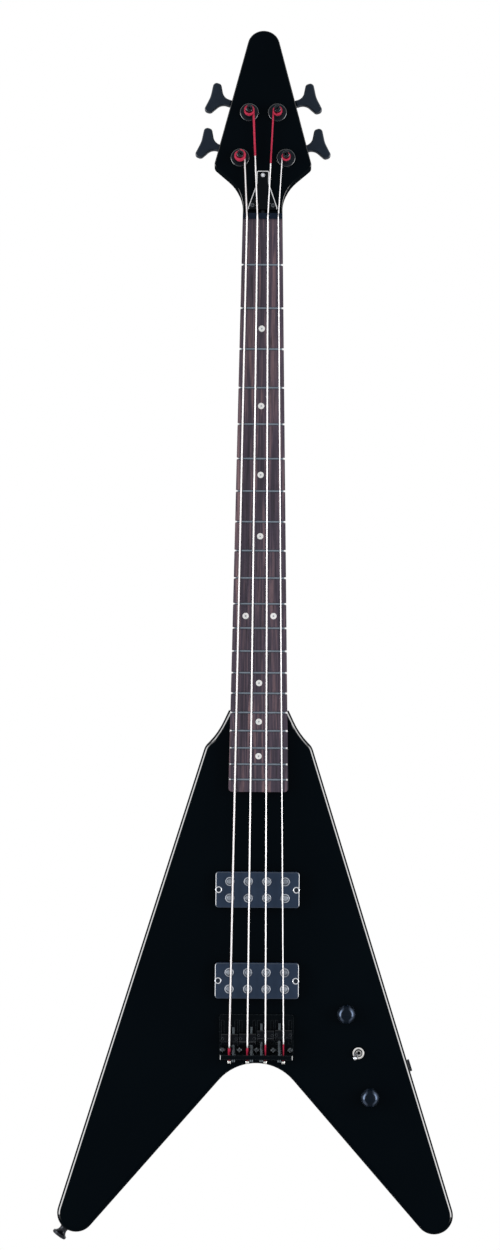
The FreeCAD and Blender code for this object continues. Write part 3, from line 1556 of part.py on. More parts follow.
def make_switch():
    """Mini toggle: box under the skin with its terminals, and a bored bushing for the lever."""
    box = Part.makeBox(switch_width, switch_length, switch_depth,
                       V(-switch_width / 2, -switch_length / 2, -cavity_skin - switch_depth))
    bushing = rod(V(0, 0, -cavity_skin), UP, switch_bushing_diameter, cavity_skin + switch_bushing_proud)
    bore = rod(V(0, 0, lever_pivot - lever_ball - string_contact_gap), UP, switch_bushing_bore,
               lever_sink + lever_ball + overrun)
    pins = [Part.makeBox(terminal_width, terminal_width, terminal_length,
                         V(-terminal_width / 2, row * terminal_pitch - terminal_width / 2,
                           -cavity_skin - switch_depth - terminal_length)) for row in (-1, 0, 1)]
    return joined(box, bushing, *pins).cut(bore)


def make_switch_nut():
    nut = rod(ORIGIN, UP, switch_nut_diameter, switch_nut_thickness)
    rim = [edge for edge in nut.Edges if edge.Closed and edge.CenterOfMass.z > switch_nut_thickness / 2]
    nut = nut.makeFillet(switch_nut_round, rim)
    return nut.cut(rod(V(0, 0, -overrun), UP, switch_bushing_diameter + 2 * screw_fit,
                       switch_nut_thickness + 2 * overrun))


def make_lever():
    """Bat lever on a small ball with a cross pin, thrown to one side."""
    pivot = V(0, 0, lever_pivot)
    ball = Part.makeSphere(lever_ball, pivot)
    bat = Part.makeCone(lever_root_diameter / 2, lever_tip_diameter / 2, lever_length, pivot)
    tip = Part.makeSphere(lever_tip_diameter / 2, pivot + UP * lever_length)
    heading = math.radians(lever_heading)
    axis = V(-math.sin(heading), math.cos(heading), 0)
    pin = rod(pivot - axis * (lever_pin_length / 2), axis, lever_pin_diameter, lever_pin_length)
    lever = joined(bat, ball, tip, pin)
    return lever.rotated(pivot, axis, lever_tilt)


# Output jack, laid out with its third axis out of the edge of the wing

def make_jack_plate():
    plate = prism(rectangle(0, 0, jack_plate_length, jack_plate_width, jack_plate_width / 2),
                  flat_place(-jack_plate_thickness), UP * jack_plate_thickness)
    hole = rod(V(0, 0, -jack_plate_thickness - overrun), UP, jack_collar + 2 * jack_plate_fit,
               jack_plate_thickness + 2 * overrun)
    plate = placed(plate.cut(hole), jack_turn)
    return plate.cut([small_screw_hole(seat, jack_out * -1) for seat in jack_screw_places])


def make_output_jack():
    barrel = rod(V(0, 0, -jack_plate_thickness - jack_length), UP, jack_diameter, jack_length)
    collar = rod(V(0, 0, -jack_plate_thickness), UP, jack_collar, jack_plate_thickness + jack_collar_proud)
    rim = [edge for edge in collar.Edges if edge.Closed and edge.CenterOfMass.z > 0]
    collar = collar.makeFillet(jack_collar_round, rim)
    bore = rod(V(0, 0, jack_collar_proud - jack_bore_depth), UP, jack_bore, jack_bore_depth + overrun)
    return placed(joined(barrel, collar).cut(bore), jack_turn)


# Strap buttons

def make_strap_button(seat, outward):
    """Turned button, waisted for the strap, with a countersunk hole."""
    base = button_base / 2
    waist = button_waist / 2
    rim = button_rim / 2
    low = button_height * button_waist_share
    high = button_height - button_rim_height
    flank = [V(rim, 0, high), V(rim, 0, button_height - button_edge), V(rim - button_edge, 0, button_height),
             V(0, 0, button_height), ORIGIN, V(base, 0, 0)]
    edges = [Part.LineSegment(start, end).toShape() for start, end in zip(flank, flank[1:])]
    edges.append(Part.Arc(V(base, 0, 0), V(waist, 0, low), V(rim, 0, high)).toShape())
    button = Part.Face(Part.Wire(edges)).revolve(ORIGIN, UP, 360)
    length = button_height + button_screw_bite
    button = button.cut(screw_hole(V(0, 0, button_height), DOWN, button_screw_diameter, length,
                                   button_screw_head, button_screw_head_height))
    return placed(button, FreeCAD.Placement(seat, FreeCAD.Rotation(UP, outward)))


def make_strap_screw(seat, outward):
    return screw(seat + outward * button_height, outward * -1, button_screw_diameter,
                 button_height + button_screw_bite, button_screw_head, button_screw_head_height, True)


# Wiring: each pickup's lead to the switch, then on to the pots and the jack

def make_wiring():
    floor = cavity_floor - wire_floor_gap - wire_diameter / 2
    beside_pin = RIGHT * (terminal_width / 2 + wire_diameter / 2 + wire_floor_gap)
    lay = BACK * (wire_diameter + wire_floor_gap)
    pin_level = cavity_roof + switch_depth + wire_floor_gap + wire_diameter / 2
    pins = [V(switch_place.x, pin_level, switch_place.y + row * terminal_pitch) for row in (1, 0, -1)]
    aim = V(channel_aim.x, pin_level, channel_aim.y)
    neck_turn = V(channel_x, floor, control_channel_start.z)
    neck_lead = [V(channel_x, floor, -pickup_places[0]), neck_turn, aim + lay, pins[0] + lay - beside_pin]
    bridge_x = (channel_x + foam_length / 2) / 2
    bridge_start = V(bridge_x, floor, -pickup_places[1])
    bridge_lead = [bridge_start, V(bridge_x, floor, control_channel_start.z + wire_bend) - lay,
                   control_channel_start - lay / 2, aim, pins[1] - beside_pin]
    can_back = cavity_roof + pot_body_depth + wire_floor_gap + wire_diameter / 2
    tone_back = V(tone_place.x, can_back, tone_place.y)
    along = V(control_heading.x, 0, control_heading.y) * (pot_body_diameter / 2)
    out_start = pins[2] + beside_pin
    out_lead = [out_start, (out_start + tone_back - along) / 2 + lay, tone_back - along,
                tone_back - along / 2]
    jack_back = jack_centre - jack_out * (jack_plate_thickness + jack_length + wire_floor_gap)
    jack_lead = [tone_back + along * lead_start_share,
                 tone_back + along * wire_start_share + RIGHT * wire_bend + lay,
                 jack_back - jack_out * (wire_bend / 2), jack_back]
    return [tube(rounded_path(route, wire_bend), wire_diameter)
            for route in (neck_lead, bridge_lead, out_lead, jack_lead)]


def make_capacitor():
    """Disc capacitor lying on the back of the tone pot."""
    back = cavity_roof + pot_body_depth + wire_floor_gap
    aside = V(-control_across.x, 0, -control_across.y) * (pot_body_diameter * capacitor_aside_share)
    return rod(V(tone_place.x, back, tone_place.y) + aside, BACK, capacitor_diameter, capacitor_thickness)


# Write every node

save("neck", make_neck())
save("fretboard", make_fretboard())
save("frets", *[make_fret(number) for number in range(1, fret_count + 1)])
save("position_markers", *[make_marker(across, place) for across, place in marker_places()])
save("nut", make_nut())
save("truss_rod", make_truss_rod())
save("truss_rod_nut", make_truss_rod_nut())
save("truss_rod_cover", make_truss_rod_cover())
save("neck_plate", make_neck_plate())
save("neck_screws", *[screw(seat, FRONT, neck_screw_diameter, neck_screw_length, neck_screw_head,
                            neck_screw_head_height, False) for seat in neck_screw_places])
make_tuners()
save("bridge_plate", make_bridge_plate())
save("bridge_screws", *[screw(seat, BACK, bridge_screw_diameter, bridge_screw_length, bridge_screw_head,
                              bridge_screw_head_height, False) for seat in bridge_screw_places])
for index, name in enumerate(string_names):
    save("string_" + name, *make_string(index))
    save("saddle_" + name, *make_saddle(index))
    save("intonation_screw_" + name, make_intonation_screw(index))
    save("intonation_spring_" + name, make_spring(index))
save("neck_pickup", *make_pickup(0))
save("bridge_pickup", *make_pickup(1))
save("pickup_foam", make_foam(0), make_foam(1))
save("potentiometers", *[at_control(place, make_pot()) for place in (volume_place, tone_place)])
save("panel_nuts", *[at_control(place, make_pot_nut()) for place in (volume_place, tone_place)],
     at_control(switch_place, make_switch_nut()))
save("volume_knob", *[at_control(volume_place, shape) for shape in make_knob()])
save("tone_knob", *[at_control(tone_place, shape) for shape in make_knob()])
save("switch_body", at_control(switch_place, make_switch()))
save("toggle_lever", at_control(switch_place, make_lever()))
save("jack_plate", make_jack_plate())
save("output_jack", make_output_jack())
save("strap_buttons", *[make_strap_button(seat, outward) for seat, outward in button_places])
save("strap_button_screws", *[make_strap_screw(seat, outward) for seat, outward in button_places])
save("small_screws", *tuner_screws, *[small_screw(seat, inward) for seat, inward in cover_screw_seats],
     *[small_screw(seat, FRONT) for seat in cover_screw_places],
     *[small_screw(seat, jack_out * -1) for seat in jack_screw_places])
save("wiring", *make_wiring())
save("tone_capacitor", make_capacitor())
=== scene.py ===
import math

import bmesh
import bpy
import numpy as np
from mathutils import Matrix, Vector


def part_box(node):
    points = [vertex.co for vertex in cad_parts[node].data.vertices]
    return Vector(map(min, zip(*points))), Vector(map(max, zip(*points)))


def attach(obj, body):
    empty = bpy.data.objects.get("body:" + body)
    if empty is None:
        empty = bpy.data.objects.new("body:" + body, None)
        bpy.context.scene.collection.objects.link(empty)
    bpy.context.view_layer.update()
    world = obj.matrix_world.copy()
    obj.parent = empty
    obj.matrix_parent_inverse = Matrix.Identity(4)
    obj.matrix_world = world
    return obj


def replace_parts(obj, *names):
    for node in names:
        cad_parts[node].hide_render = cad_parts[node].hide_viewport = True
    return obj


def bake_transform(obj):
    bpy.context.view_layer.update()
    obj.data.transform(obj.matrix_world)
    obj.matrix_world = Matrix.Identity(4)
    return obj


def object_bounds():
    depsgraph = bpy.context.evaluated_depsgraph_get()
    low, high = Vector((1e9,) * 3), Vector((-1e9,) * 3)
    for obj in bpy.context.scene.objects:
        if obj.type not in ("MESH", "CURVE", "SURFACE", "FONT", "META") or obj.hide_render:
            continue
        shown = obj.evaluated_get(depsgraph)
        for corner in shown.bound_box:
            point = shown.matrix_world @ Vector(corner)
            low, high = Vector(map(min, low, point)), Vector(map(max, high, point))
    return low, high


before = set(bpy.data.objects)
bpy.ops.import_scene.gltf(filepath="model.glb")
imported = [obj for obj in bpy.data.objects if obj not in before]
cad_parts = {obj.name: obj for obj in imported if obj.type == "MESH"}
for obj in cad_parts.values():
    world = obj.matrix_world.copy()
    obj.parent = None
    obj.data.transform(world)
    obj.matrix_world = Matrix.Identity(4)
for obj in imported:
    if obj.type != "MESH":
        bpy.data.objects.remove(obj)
cad_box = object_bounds()

# Studio: the instrument hangs upright by its headstock in a white room, over a pale floor. A tall soft panel
# stands at each side, and the camera looks square at the strings, with the small lean of the photograph.
photo_size = Vector((500, 1250))
nut_pixel = Vector((262.6, 219.4))
metres_per_pixel = 0.0010563
lean = math.radians(0.436)
camera_distance = 4.95
sensor_size = 36.0
to_centre = (photo_size / 2 - nut_pixel) * metres_per_pixel
view_across = to_centre.x * math.cos(lean) + to_centre.y * math.sin(lean)
view_down = to_centre.y * math.cos(lean) - to_centre.x * math.sin(lean)

camera_data = bpy.data.cameras.new("camera")
camera_data.sensor_width = sensor_size
camera_data.lens = sensor_size * camera_distance / (photo_size.y * metres_per_pixel)
camera = bpy.data.objects.new("camera", camera_data)
camera.matrix_world = (Matrix.Translation((view_across, -camera_distance, -view_down))
                       @ Matrix.Rotation(math.pi / 2, 4, "X") @ Matrix.Rotation(lean, 4, "Z"))
bpy.context.collection.objects.link(camera)
bpy.context.scene.camera = camera
bpy.context.scene.view_settings.view_transform = "Standard"


def add(tree, kind, sockets=None, **settings):
    """New shader node with its settings; each input takes a value or another node's output."""
    node = tree.nodes.new("ShaderNode" + kind)
    for key, value in settings.items():
        setattr(node, key, value)
    for key, value in (sockets or {}).items():
        if isinstance(value, bpy.types.NodeSocket):
            tree.links.new(value, node.inputs[key])
        else:
            node.inputs[key].default_value = value
    return node


def calc(tree, operation, *terms, clamp=False):
    """Output of a Math node fed by outputs of other nodes or plain numbers."""
    return add(tree, "Math", dict(enumerate(terms)), operation=operation, use_clamp=clamp).outputs[0]


room_light = 0.60
room = bpy.data.worlds.new("white_room")
room.use_nodes = True
bpy.context.scene.world = room
tree = room.node_tree
tree.nodes["Background"].inputs["Color"].default_value = (1, 1, 1, 1)
tree.nodes["Background"].inputs["Strength"].default_value = room_light
white = add(tree, "Background", {"Color": (1, 1, 1, 1), "Strength": 1.0})
path = add(tree, "LightPath").outputs
seen = calc(tree, "MAXIMUM", path["Is Camera Ray"], path["Is Glossy Ray"])
seen = calc(tree, "MAXIMUM", seen, path["Is Transmission Ray"])
choice = add(tree, "MixShader", {"Fac": seen, 1: tree.nodes["Background"].outputs[0], 2: white.outputs[0]})
tree.links.new(choice.outputs[0], tree.nodes["World Output"].inputs["Surface"])

panel_size = (1.2, 2.4)
panel_power = 12.0
panel_spread = math.radians(100)
panel_place = Vector((1.76, -0.74, -0.35))
for side, name in ((-1, "panel_left"), (1, "panel_right")):
    panel = bpy.data.lights.new(name, "AREA")
    panel.shape = "RECTANGLE"
    panel.size, panel.size_y = panel_size
    panel.energy = panel_power
    panel.spread = panel_spread
    lamp = bpy.data.objects.new(name, panel)
    lamp.location = (side * panel_place.x, panel_place.y, panel_place.z)
    lamp.rotation_euler = Vector((side * panel_place.x, panel_place.y, 0)).to_track_quat("Z", "Y").to_euler()
    lamp.visible_camera = False
    bpy.context.collection.objects.link(lamp)

floor_drop = 0.30
floor_half = 1.9
floor_white = (0.86, 0.86, 0.86, 1)
floor_roughness = 0.9
floor_level = cad_box[0].z - floor_drop
floor_mesh = bpy.data.meshes.new("floor")
floor_corners = [(x * floor_half, y * floor_half, floor_level)
                 for x, y in ((-1, -1), (1, -1), (1, 1), (-1, 1))]
floor_mesh.from_pydata(floor_corners, [], [(0, 1, 2, 3)])
floor = bpy.data.objects.new("floor", floor_mesh)
bpy.context.collection.objects.link(floor)
floor_paint = bpy.data.materials.new("floor_paint")
floor_paint.use_nodes = True
floor_shader = floor_paint.node_tree.nodes["Principled BSDF"]
floor_shader.inputs["Base Color"].default_value = floor_white
floor_shader.inputs["Roughness"].default_value = floor_roughness
floor_mesh.materials.append(floor_paint)

# Body: one V of solid wood, sprayed in black lacquer and buffed to a wet gloss. The lacquer has a trace of
# orange peel and fine swirl marks, which show only in the reflections.


def shader_group(name, inputs, outputs):
    """Node group with float inputs at their usual values and float outputs."""
    group = bpy.data.node_groups.new(name, "ShaderNodeTree")
    for label, value in inputs.items():
        socket = group.interface.new_socket(label, in_out="INPUT", socket_type="NodeSocketFloat")
        socket.default_value = value
    for label in outputs:
        group.interface.new_socket(label, in_out="OUTPUT", socket_type="NodeSocketFloat")
    return group, group.nodes.new("NodeGroupInput"), group.nodes.new("NodeGroupOutput")


# Handling marks: cloudy patches, a roughness that wanders between smooth and worn, and a fine skin
handling, given, result = shader_group("handling_marks", {"Scale": 40.0, "Smooth": 0.1, "Worn": 0.3},
                                       ("Cloud", "Roughness", "Skin"))
place = add(handling, "TexCoord").outputs["Object"]
sized = add(handling, "VectorMath", {0: place, "Scale": given.outputs["Scale"]}, operation="SCALE").outputs[0]
cloud = add(handling, "TexNoise", {"Vector": sized, "Scale": 1.0, "Detail": 3.0}).outputs["Fac"]
skin_detail = {"Vector": sized, "Scale": 14.0, "Detail": 5.0, "Roughness": 0.6}
skin = add(handling, "TexNoise", skin_detail).outputs["Fac"]
spread = add(handling, "MapRange", {"Value": calc(handling, "MULTIPLY_ADD", skin, 0.5, cloud),
                                    "From Min": 0.45, "From Max": 1.0,
                                    "To Min": given.outputs["Smooth"], "To Max": given.outputs["Worn"]})
for label, output in (("Cloud", cloud), ("Roughness", spread.outputs["Result"]), ("Skin", skin)):
    handling.links.new(output, result.inputs[label])

# Rubbed edges: a mask along sharp edges, broken up as handling breaks it up
rubbing, given, result = shader_group("rubbed_edges", {"Width": 0.0004, "Amount": 0.5}, ("Edge",))
rounded = add(rubbing, "Bevel", {"Radius": given.outputs["Width"]}, samples=4).outputs["Normal"]
flat = add(rubbing, "NewGeometry").outputs["Normal"]
facing = add(rubbing, "VectorMath", {0: rounded, 1: flat}, operation="DOT_PRODUCT").outputs["Value"]
edge = add(rubbing, "MapRange", {"Value": facing, "From Min": 0.995, "From Max": 0.85},
           interpolation_type="SMOOTHSTEP").outputs["Result"]
place = add(rubbing, "TexCoord").outputs["Object"]
patches = add(rubbing, "TexNoise", {"Vector": place, "Scale": 300.0, "Detail": 3.0}).outputs["Fac"]
broken = calc(rubbing, "MULTIPLY", edge, patches)
share = calc(rubbing, "MULTIPLY", broken, given.outputs["Amount"], clamp=True)
rubbing.links.new(share, result.inputs["Edge"])

# Buffed rims: a mask over the rounded edges between a front or back face and the sides, where polish builds
# up. Lower at zero leaves out rims that face down, and Ends keeps only those that face left or right
# The knobs' finish also uses this mask to place a painted sheen colour
buffing, given, result = shader_group(
    "buffed_rims", {"Amount": 1.0, "Lower": 1.0, "Ends": 0.0, "Face": 0.93, "Side": 0.58}, ("Rim",))
face_fade, side_fade = 0.06, 0.16
surface = add(buffing, "NewGeometry")
parts = add(buffing, "SeparateXYZ", {0: surface.outputs["Normal"]})
facing = calc(buffing, "ABSOLUTE", parts.outputs["Y"])
from_face = calc(buffing, "SUBTRACT", given.outputs["Face"], facing)
from_side = calc(buffing, "SUBTRACT", facing, given.outputs["Side"])
between = calc(buffing, "MULTIPLY", calc(buffing, "DIVIDE", from_face, face_fade, clamp=True),
               calc(buffing, "DIVIDE", from_side, side_fade, clamp=True))
upward = add(buffing, "MapRange", {"Value": parts.outputs["Z"], "From Min": -0.2, "From Max": 0.0})
reached = calc(buffing, "MAXIMUM", upward.outputs["Result"], given.outputs["Lower"])
sideways = calc(buffing, "ABSOLUTE", parts.outputs["X"])
inner = add(buffing, "MapRange", {"Value": sideways, "From Min": 0.45, "From Max": 0.20})
left_out = calc(buffing, "MULTIPLY", inner.outputs["Result"], given.outputs["Ends"])
kept = calc(buffing, "MULTIPLY", reached, calc(buffing, "SUBTRACT", 1.0, left_out))
rim = calc(buffing, "MULTIPLY", between, kept)
buffing.links.new(calc(buffing, "MULTIPLY", rim, given.outputs["Amount"]), result.inputs["Rim"])

# Sockets of a Mix node that carry colours
MIX_A, MIX_B, MIX_COLOUR = 6, 7, 2
bump_depth = 0.0005
rim_roughness = 0.08


def mix(tree, factor, under, over):
    """Colour between two others, each another node's output or a plain colour."""
    under, over = (end if isinstance(end, bpy.types.NodeSocket) else (*end, 1) for end in (under, over))
    node = add(tree, "Mix", {"Factor": factor, MIX_A: under, MIX_B: over}, data_type="RGBA")
    return node.outputs[MIX_COLOUR]


def finish(name, dark, light, smooth, worn, scale, metallic=0.0, specular=0.5, skin_depth=0.02, rub=0.0,
           bare=(0.5, 0.5, 0.5), buffed=None, polish=2.2, gloss=0.0, painted_rim_sheen=None):
    """Material with a wandering colour and handling marks, with rubbed or buffed edges if asked, and with a
    painted sheen colour on the buffed rims if one is given.
    """
    material = bpy.data.materials.new(name)
    material.use_nodes = True
    tree = material.node_tree
    shader = tree.nodes["Principled BSDF"]
    shader.inputs["Metallic"].default_value = metallic
    shader.inputs["Specular IOR Level"].default_value = specular
    marks = add(tree, "Group", {"Scale": scale, "Smooth": smooth, "Worn": worn}, node_tree=handling).outputs
    bump = add(tree, "Bump", {"Height": marks["Skin"], "Strength": skin_depth, "Distance": bump_depth})
    tree.links.new(marks["Roughness"], shader.inputs["Roughness"])
    tree.links.new(bump.outputs["Normal"], shader.inputs["Normal"])
    colour = mix(tree, marks["Cloud"], dark, light)
    if rub:
        edges = add(tree, "Group", {"Amount": rub}, node_tree=rubbing)
        colour = mix(tree, edges.outputs["Edge"], colour, bare)
    if buffed:
        rim = add(tree, "Group", buffed, node_tree=buffing).outputs["Rim"]
        # Painted sheen: over the rim mask the colour turns to the sheen colour and becomes metallic
        if painted_rim_sheen:
            colour = mix(tree, rim, colour, painted_rim_sheen)
            tree.links.new(rim, shader.inputs["Metallic"])
        else:
            shader.inputs["Coat IOR"].default_value = polish
            shader.inputs["Coat Roughness"].default_value = rim_roughness
            tree.links.new(calc(tree, "MAXIMUM", rim, gloss), shader.inputs["Coat Weight"])
    tree.links.new(colour, shader.inputs["Base Color"])
    return material


def dress(material, *nodes):
    """Gives CAD nodes their finish."""
    for node in nodes:
        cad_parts[node].material_slots[0].material = material


lacquer = finish("black_lacquer", (0.0003, 0.0014, 0.0026), (0.0012, 0.0030, 0.0048), 0.05, 0.16, 6.0,
                 specular=0.015, skin_depth=0.004, buffed={"Lower": 0.0, "Face": 0.95, "Side": 0.68})
dress(lacquer, "body")

# Neck and headstock: one piece of wood under the same black lacquer, worn a little duller along the back
# where the hand slides, with its adjusting rod and nut in a pocket behind the string nut.
neck_lacquer = finish("neck_lacquer", (0.0004, 0.0015, 0.0027), (0.0014, 0.0032, 0.0050), 0.08, 0.26, 9.0,
                      specular=0.0, skin_depth=0.006, buffed={"Amount": 0.6, "Lower": 0.0}, gloss=0.008)
rod_steel = finish("rod_steel", (0.010, 0.012, 0.016), (0.030, 0.034, 0.040), 0.35, 0.6, 120.0, metallic=1.0)
dress(neck_lacquer, "neck")
dress(rod_steel, "truss_rod", "truss_rod_nut")

# Rod cover: a black plastic blank with a pale core that shows as a thin line along its cut edge, held on the
# headstock by three small screws.
cover_plastic = finish("cover_plastic", (0.0012, 0.0022, 0.0036), (0.0030, 0.0044, 0.0060), 0.18, 0.35, 60.0,
                       specular=0.05)
core_plastic = finish("core_plastic", (0.72, 0.73, 0.75), (0.84, 0.85, 0.86), 0.35, 0.55, 200.0, specular=0.3)
dress(cover_plastic, "truss_rod_cover")
head_tilt = math.radians(14.0)
head_up = Vector((0, math.sin(head_tilt), math.cos(head_tilt)))
head_out = Vector((0, -math.cos(head_tilt), math.sin(head_tilt)))
head_foot = Vector((0, 0, 0.006))
cover_start, cover_waist, cover_end = 0.0040, 0.0330, 0.0470
cover_bottom_half, cover_top_half = 0.01535, 0.0065
cover_step = 0.0023
cover_thickness = 0.0022
cover_corner = 0.0018
core_width = 0.0008
core_rise = 0.00005
core_depth = 0.0005
corner_steps = 5
sharp_angle = math.radians(40)


def piece(name, mesh, material, body):
    """Turns a bmesh into a smooth-shaded object that rides on a body, or is left on no body."""
    bmesh.ops.recalc_face_normals(mesh, faces=mesh.faces)
    data = bpy.data.meshes.new(name)
    mesh.to_mesh(data)
    mesh.free()
    data.materials.append(material)
    made = bpy.data.objects.new(name, data)
    bpy.context.collection.objects.link(made)
    data.polygons.foreach_set("use_smooth", [True] * len(data.polygons))
    data.set_sharp_from_angle(angle=sharp_angle)
    if body:
        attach(made, body)
    return made


def inset(points, amount):
    """Points of a closed loop moved in towards its middle, square to its sides."""
    moved = []
    for index, point in enumerate(points):
        before = (point - points[index - 1]).normalized()
        after = (points[(index + 1) % len(points)] - point).normalized()
        mitre = Vector((-before.y - after.y, before.x + after.x))
        moved.append(point + mitre * (amount / (1 + before.dot(after))))
    return moved


corner_turns = [math.pi / 2 * step / corner_steps for step in range(corner_steps + 1)]
right_edge = [Vector((cover_bottom_half, cover_start)), Vector((cover_bottom_half, cover_start + cover_step)),
              Vector((cover_top_half, cover_waist))]
right_edge += [Vector((cover_top_half - cover_corner + cover_corner * math.cos(turn),
                       cover_end - cover_corner + cover_corner * math.sin(turn))) for turn in corner_turns]
outline = right_edge + [Vector((-point.x, point.y)) for point in reversed(right_edge)]
core_line = bmesh.new()
core_rings = []
for loop, height in ((inset(outline, -core_rise), cover_thickness - core_depth),
                     (inset(outline, -core_rise), cover_thickness + core_rise),
                     (inset(outline, core_width), cover_thickness + core_rise)):
    places = [head_foot + Vector((point.x, 0, 0)) + head_up * point.y + head_out * height for point in loop]
    core_rings.append([core_line.verts.new(place) for place in places])
for low, high in zip(core_rings, core_rings[1:]):
    for index in range(len(outline) - 1):
        core_line.faces.new((low[index], low[index + 1], high[index + 1], high[index]))
piece("truss_rod_cover_core", core_line, core_plastic, "instrument")

# Fretboard: a board of dark open-grained rosewood, oiled and not lacquered, glued on the neck. Its streaks
# run along the strings, and its pores are short dark scratches.
rosewood = bpy.data.materials.new("rosewood")
rosewood.use_nodes = True
tree = rosewood.node_tree
shader = tree.nodes["Principled BSDF"]
shader.inputs["Specular IOR Level"].default_value = 0.3


def ramp(tree, value, *stops):
    """Colour that runs through (place, colour) stops."""
    node = add(tree, "ValToRGB", {"Fac": value})
    marks = node.color_ramp.elements
    for stop, colour in stops:
        marks.new(stop).color = (*colour, 1)
    for spare in (len(marks) - 1, 0):
        marks.remove(marks[spare])
    return node.outputs["Color"]


def stretched(tree, scale):
    """Object coordinates scaled by axis."""
    place = add(tree, "TexCoord").outputs["Object"]
    return add(tree, "Mapping", {"Vector": place, "Scale": scale}).outputs[0]


streak_space, pore_space = stretched(tree, (340.0, 280.0, 9.0)), stretched(tree, (1500.0, 1500.0, 45.0))
streaks = add(tree, "TexNoise", {"Vector": streak_space, "Scale": 1.0, "Detail": 7.0, "Roughness": 0.62,
                                 "Distortion": 0.5}).outputs["Fac"]
pores = add(tree, "TexNoise", {"Vector": pore_space, "Scale": 1.0, "Detail": 2.0})
pore_mask = add(tree, "MapRange", {"Value": pores.outputs["Fac"], "From Min": 0.60, "From Max": 0.72})
pore_mask = pore_mask.outputs["Result"]
pore_dark = (0.012, 0.008, 0.009)
wood = ramp(tree, streaks, (0.30, (0.010, 0.009, 0.017)), (0.50, (0.054, 0.040, 0.062)),
            (0.70, (0.210, 0.130, 0.140)))
dryness = add(tree, "MapRange", {"Value": streaks, "To Min": 0.38, "To Max": 0.62})
grain = add(tree, "Bump", {"Height": pore_mask, "Strength": 0.25, "Distance": 0.0002}, invert=True)
tree.links.new(mix(tree, pore_mask, wood, pore_dark), shader.inputs["Base Color"])
tree.links.new(dryness.outputs["Result"], shader.inputs["Roughness"])
tree.links.new(grain.outputs["Normal"], shader.inputs["Normal"])
dress(rosewood, "fretboard")

# Frets: crowned nickel silver wire pressed into saw slots of the board, the ends filed to a bevel along the
# board's edges. A near-white painted highlight lies over the ends along the board's edges.
fret_silver = finish("fret_silver", (0.13, 0.16, 0.20), (0.24, 0.28, 0.33), 0.18, 0.40, 220.0, metallic=1.0)
# Near-white painted highlight laid over the fret ends along the board's edges
fret_end_highlight = (0.90, 0.91, 0.92)
nut_half_width = 0.021
board_widening = 0.0174
end_highlight_length, end_highlight_core_share = 0.0024, 0.6
tree = fret_silver.node_tree
base = tree.nodes["Principled BSDF"].inputs["Base Color"]
place = add(tree, "SeparateXYZ", {0: add(tree, "TexCoord").outputs["Object"]}).outputs
board_half = calc(tree, "MULTIPLY_ADD", place["Z"], -board_widening, nut_half_width)
from_edge = calc(tree, "SUBTRACT", board_half, calc(tree, "ABSOLUTE", place["X"]))
end_highlight = add(tree, "MapRange", {"Value": from_edge, "From Min": end_highlight_length,
                               "From Max": end_highlight_length * end_highlight_core_share})
tree.links.new(mix(tree, end_highlight.outputs["Result"], base.links[0].from_socket, fret_end_highlight), base)
dress(fret_silver, "frets")

# Position markers: discs of pearl plastic let flush into the board, with clouds of cream, pink and green.
# Each has a small grey eye in its middle.
pearl = bpy.data.materials.new("pearl")
pearl.use_nodes = True
tree = pearl.node_tree
shader = tree.nodes["Principled BSDF"]
shader.inputs["Roughness"].default_value = 0.16
shader.inputs["Coat Weight"].default_value = 0.4
place = add(tree, "TexCoord").outputs["Object"]
swirl = add(tree, "TexNoise", {"Vector": place, "Scale": 520.0, "Detail": 3.0, "Distortion": 1.6})
clouds = ramp(tree, swirl.outputs["Fac"], (0.32, (0.68, 0.76, 0.76)), (0.50, (0.93, 0.93, 0.91)),
              (0.66, (0.90, 0.84, 0.86)))
tree.links.new(clouds, shader.inputs["Base Color"])
dress(pearl, "position_markers")
marker_eye = finish("marker_eye", (0.18, 0.21, 0.25), (0.40, 0.43, 0.48), 0.3, 0.5, 400.0)
eye_radius, eye_top_share = 0.0008, 0.9
eye_rise = 0.00004


def turned(mesh, profile, matrix, sides=24):
    """Adds a solid of revolution to a bmesh: profile is (radius, height) pairs from bottom to top."""
    rings = []
    for radius, height in profile:
        if radius == 0:
            rings.append([mesh.verts.new(matrix @ Vector((0, 0, height)))])
        else:
            turns = [2 * math.pi * side / sides for side in range(sides)]
            spots = [Vector((radius * math.cos(turn), radius * math.sin(turn), height)) for turn in turns]
            rings.append([mesh.verts.new(matrix @ spot) for spot in spots])
    for low, high in zip(rings, rings[1:]):
        for side in range(sides):
            after = (side + 1) % sides
            corners = []
            for ring, index in ((low, side), (low, after), (high, after), (high, side)):
                vert = ring[index if len(ring) > 1 else 0]
                if vert not in corners:
                    corners.append(vert)
            mesh.faces.new(corners)


same_place = 1e-6


def islands(node):
    """Vertex places of each separate solid of a CAD node, as arrays."""
    shape = bmesh.new()
    shape.from_mesh(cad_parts[node].data)
    bmesh.ops.remove_doubles(shape, verts=shape.verts, dist=same_place)
    left = dict.fromkeys(shape.verts)
    found = []
    while left:
        group, reached = [], [left.popitem()[0]]
        while reached:
            vert = reached.pop()
            group.append(vert.co[:])
            for edge in vert.link_edges:
                other = edge.other_vert(vert)
                if other in left:
                    del left[other]
                    reached.append(other)
        found.append(np.array(group))
    shape.free()
    return found


eyes = bmesh.new()
for points in islands("position_markers"):
    across, _, up = points.mean(0)
    turned(eyes, [(eye_radius, 0), (eye_radius * eye_top_share, eye_rise), (0, eye_rise)],
           Matrix.Translation((across, points[:, 1].min(), up)) @ Matrix.Rotation(math.pi / 2, 4, "X"))
piece("position_marker_eyes", eyes, marker_eye, "instrument")

# String nut: a black bone-hard plastic bar with four filed grooves, glued across the end of the fretboard.
# Its edges are rubbed a little paler by the strings and the hand.
nut_plastic = finish("nut_plastic", (0.0030, 0.0060, 0.0130), (0.0080, 0.0130, 0.0250), 0.22, 0.45, 150.0,
                     specular=0.04, rub=0.6, bare=(0.03, 0.04, 0.06))
dress(nut_plastic, "nut")

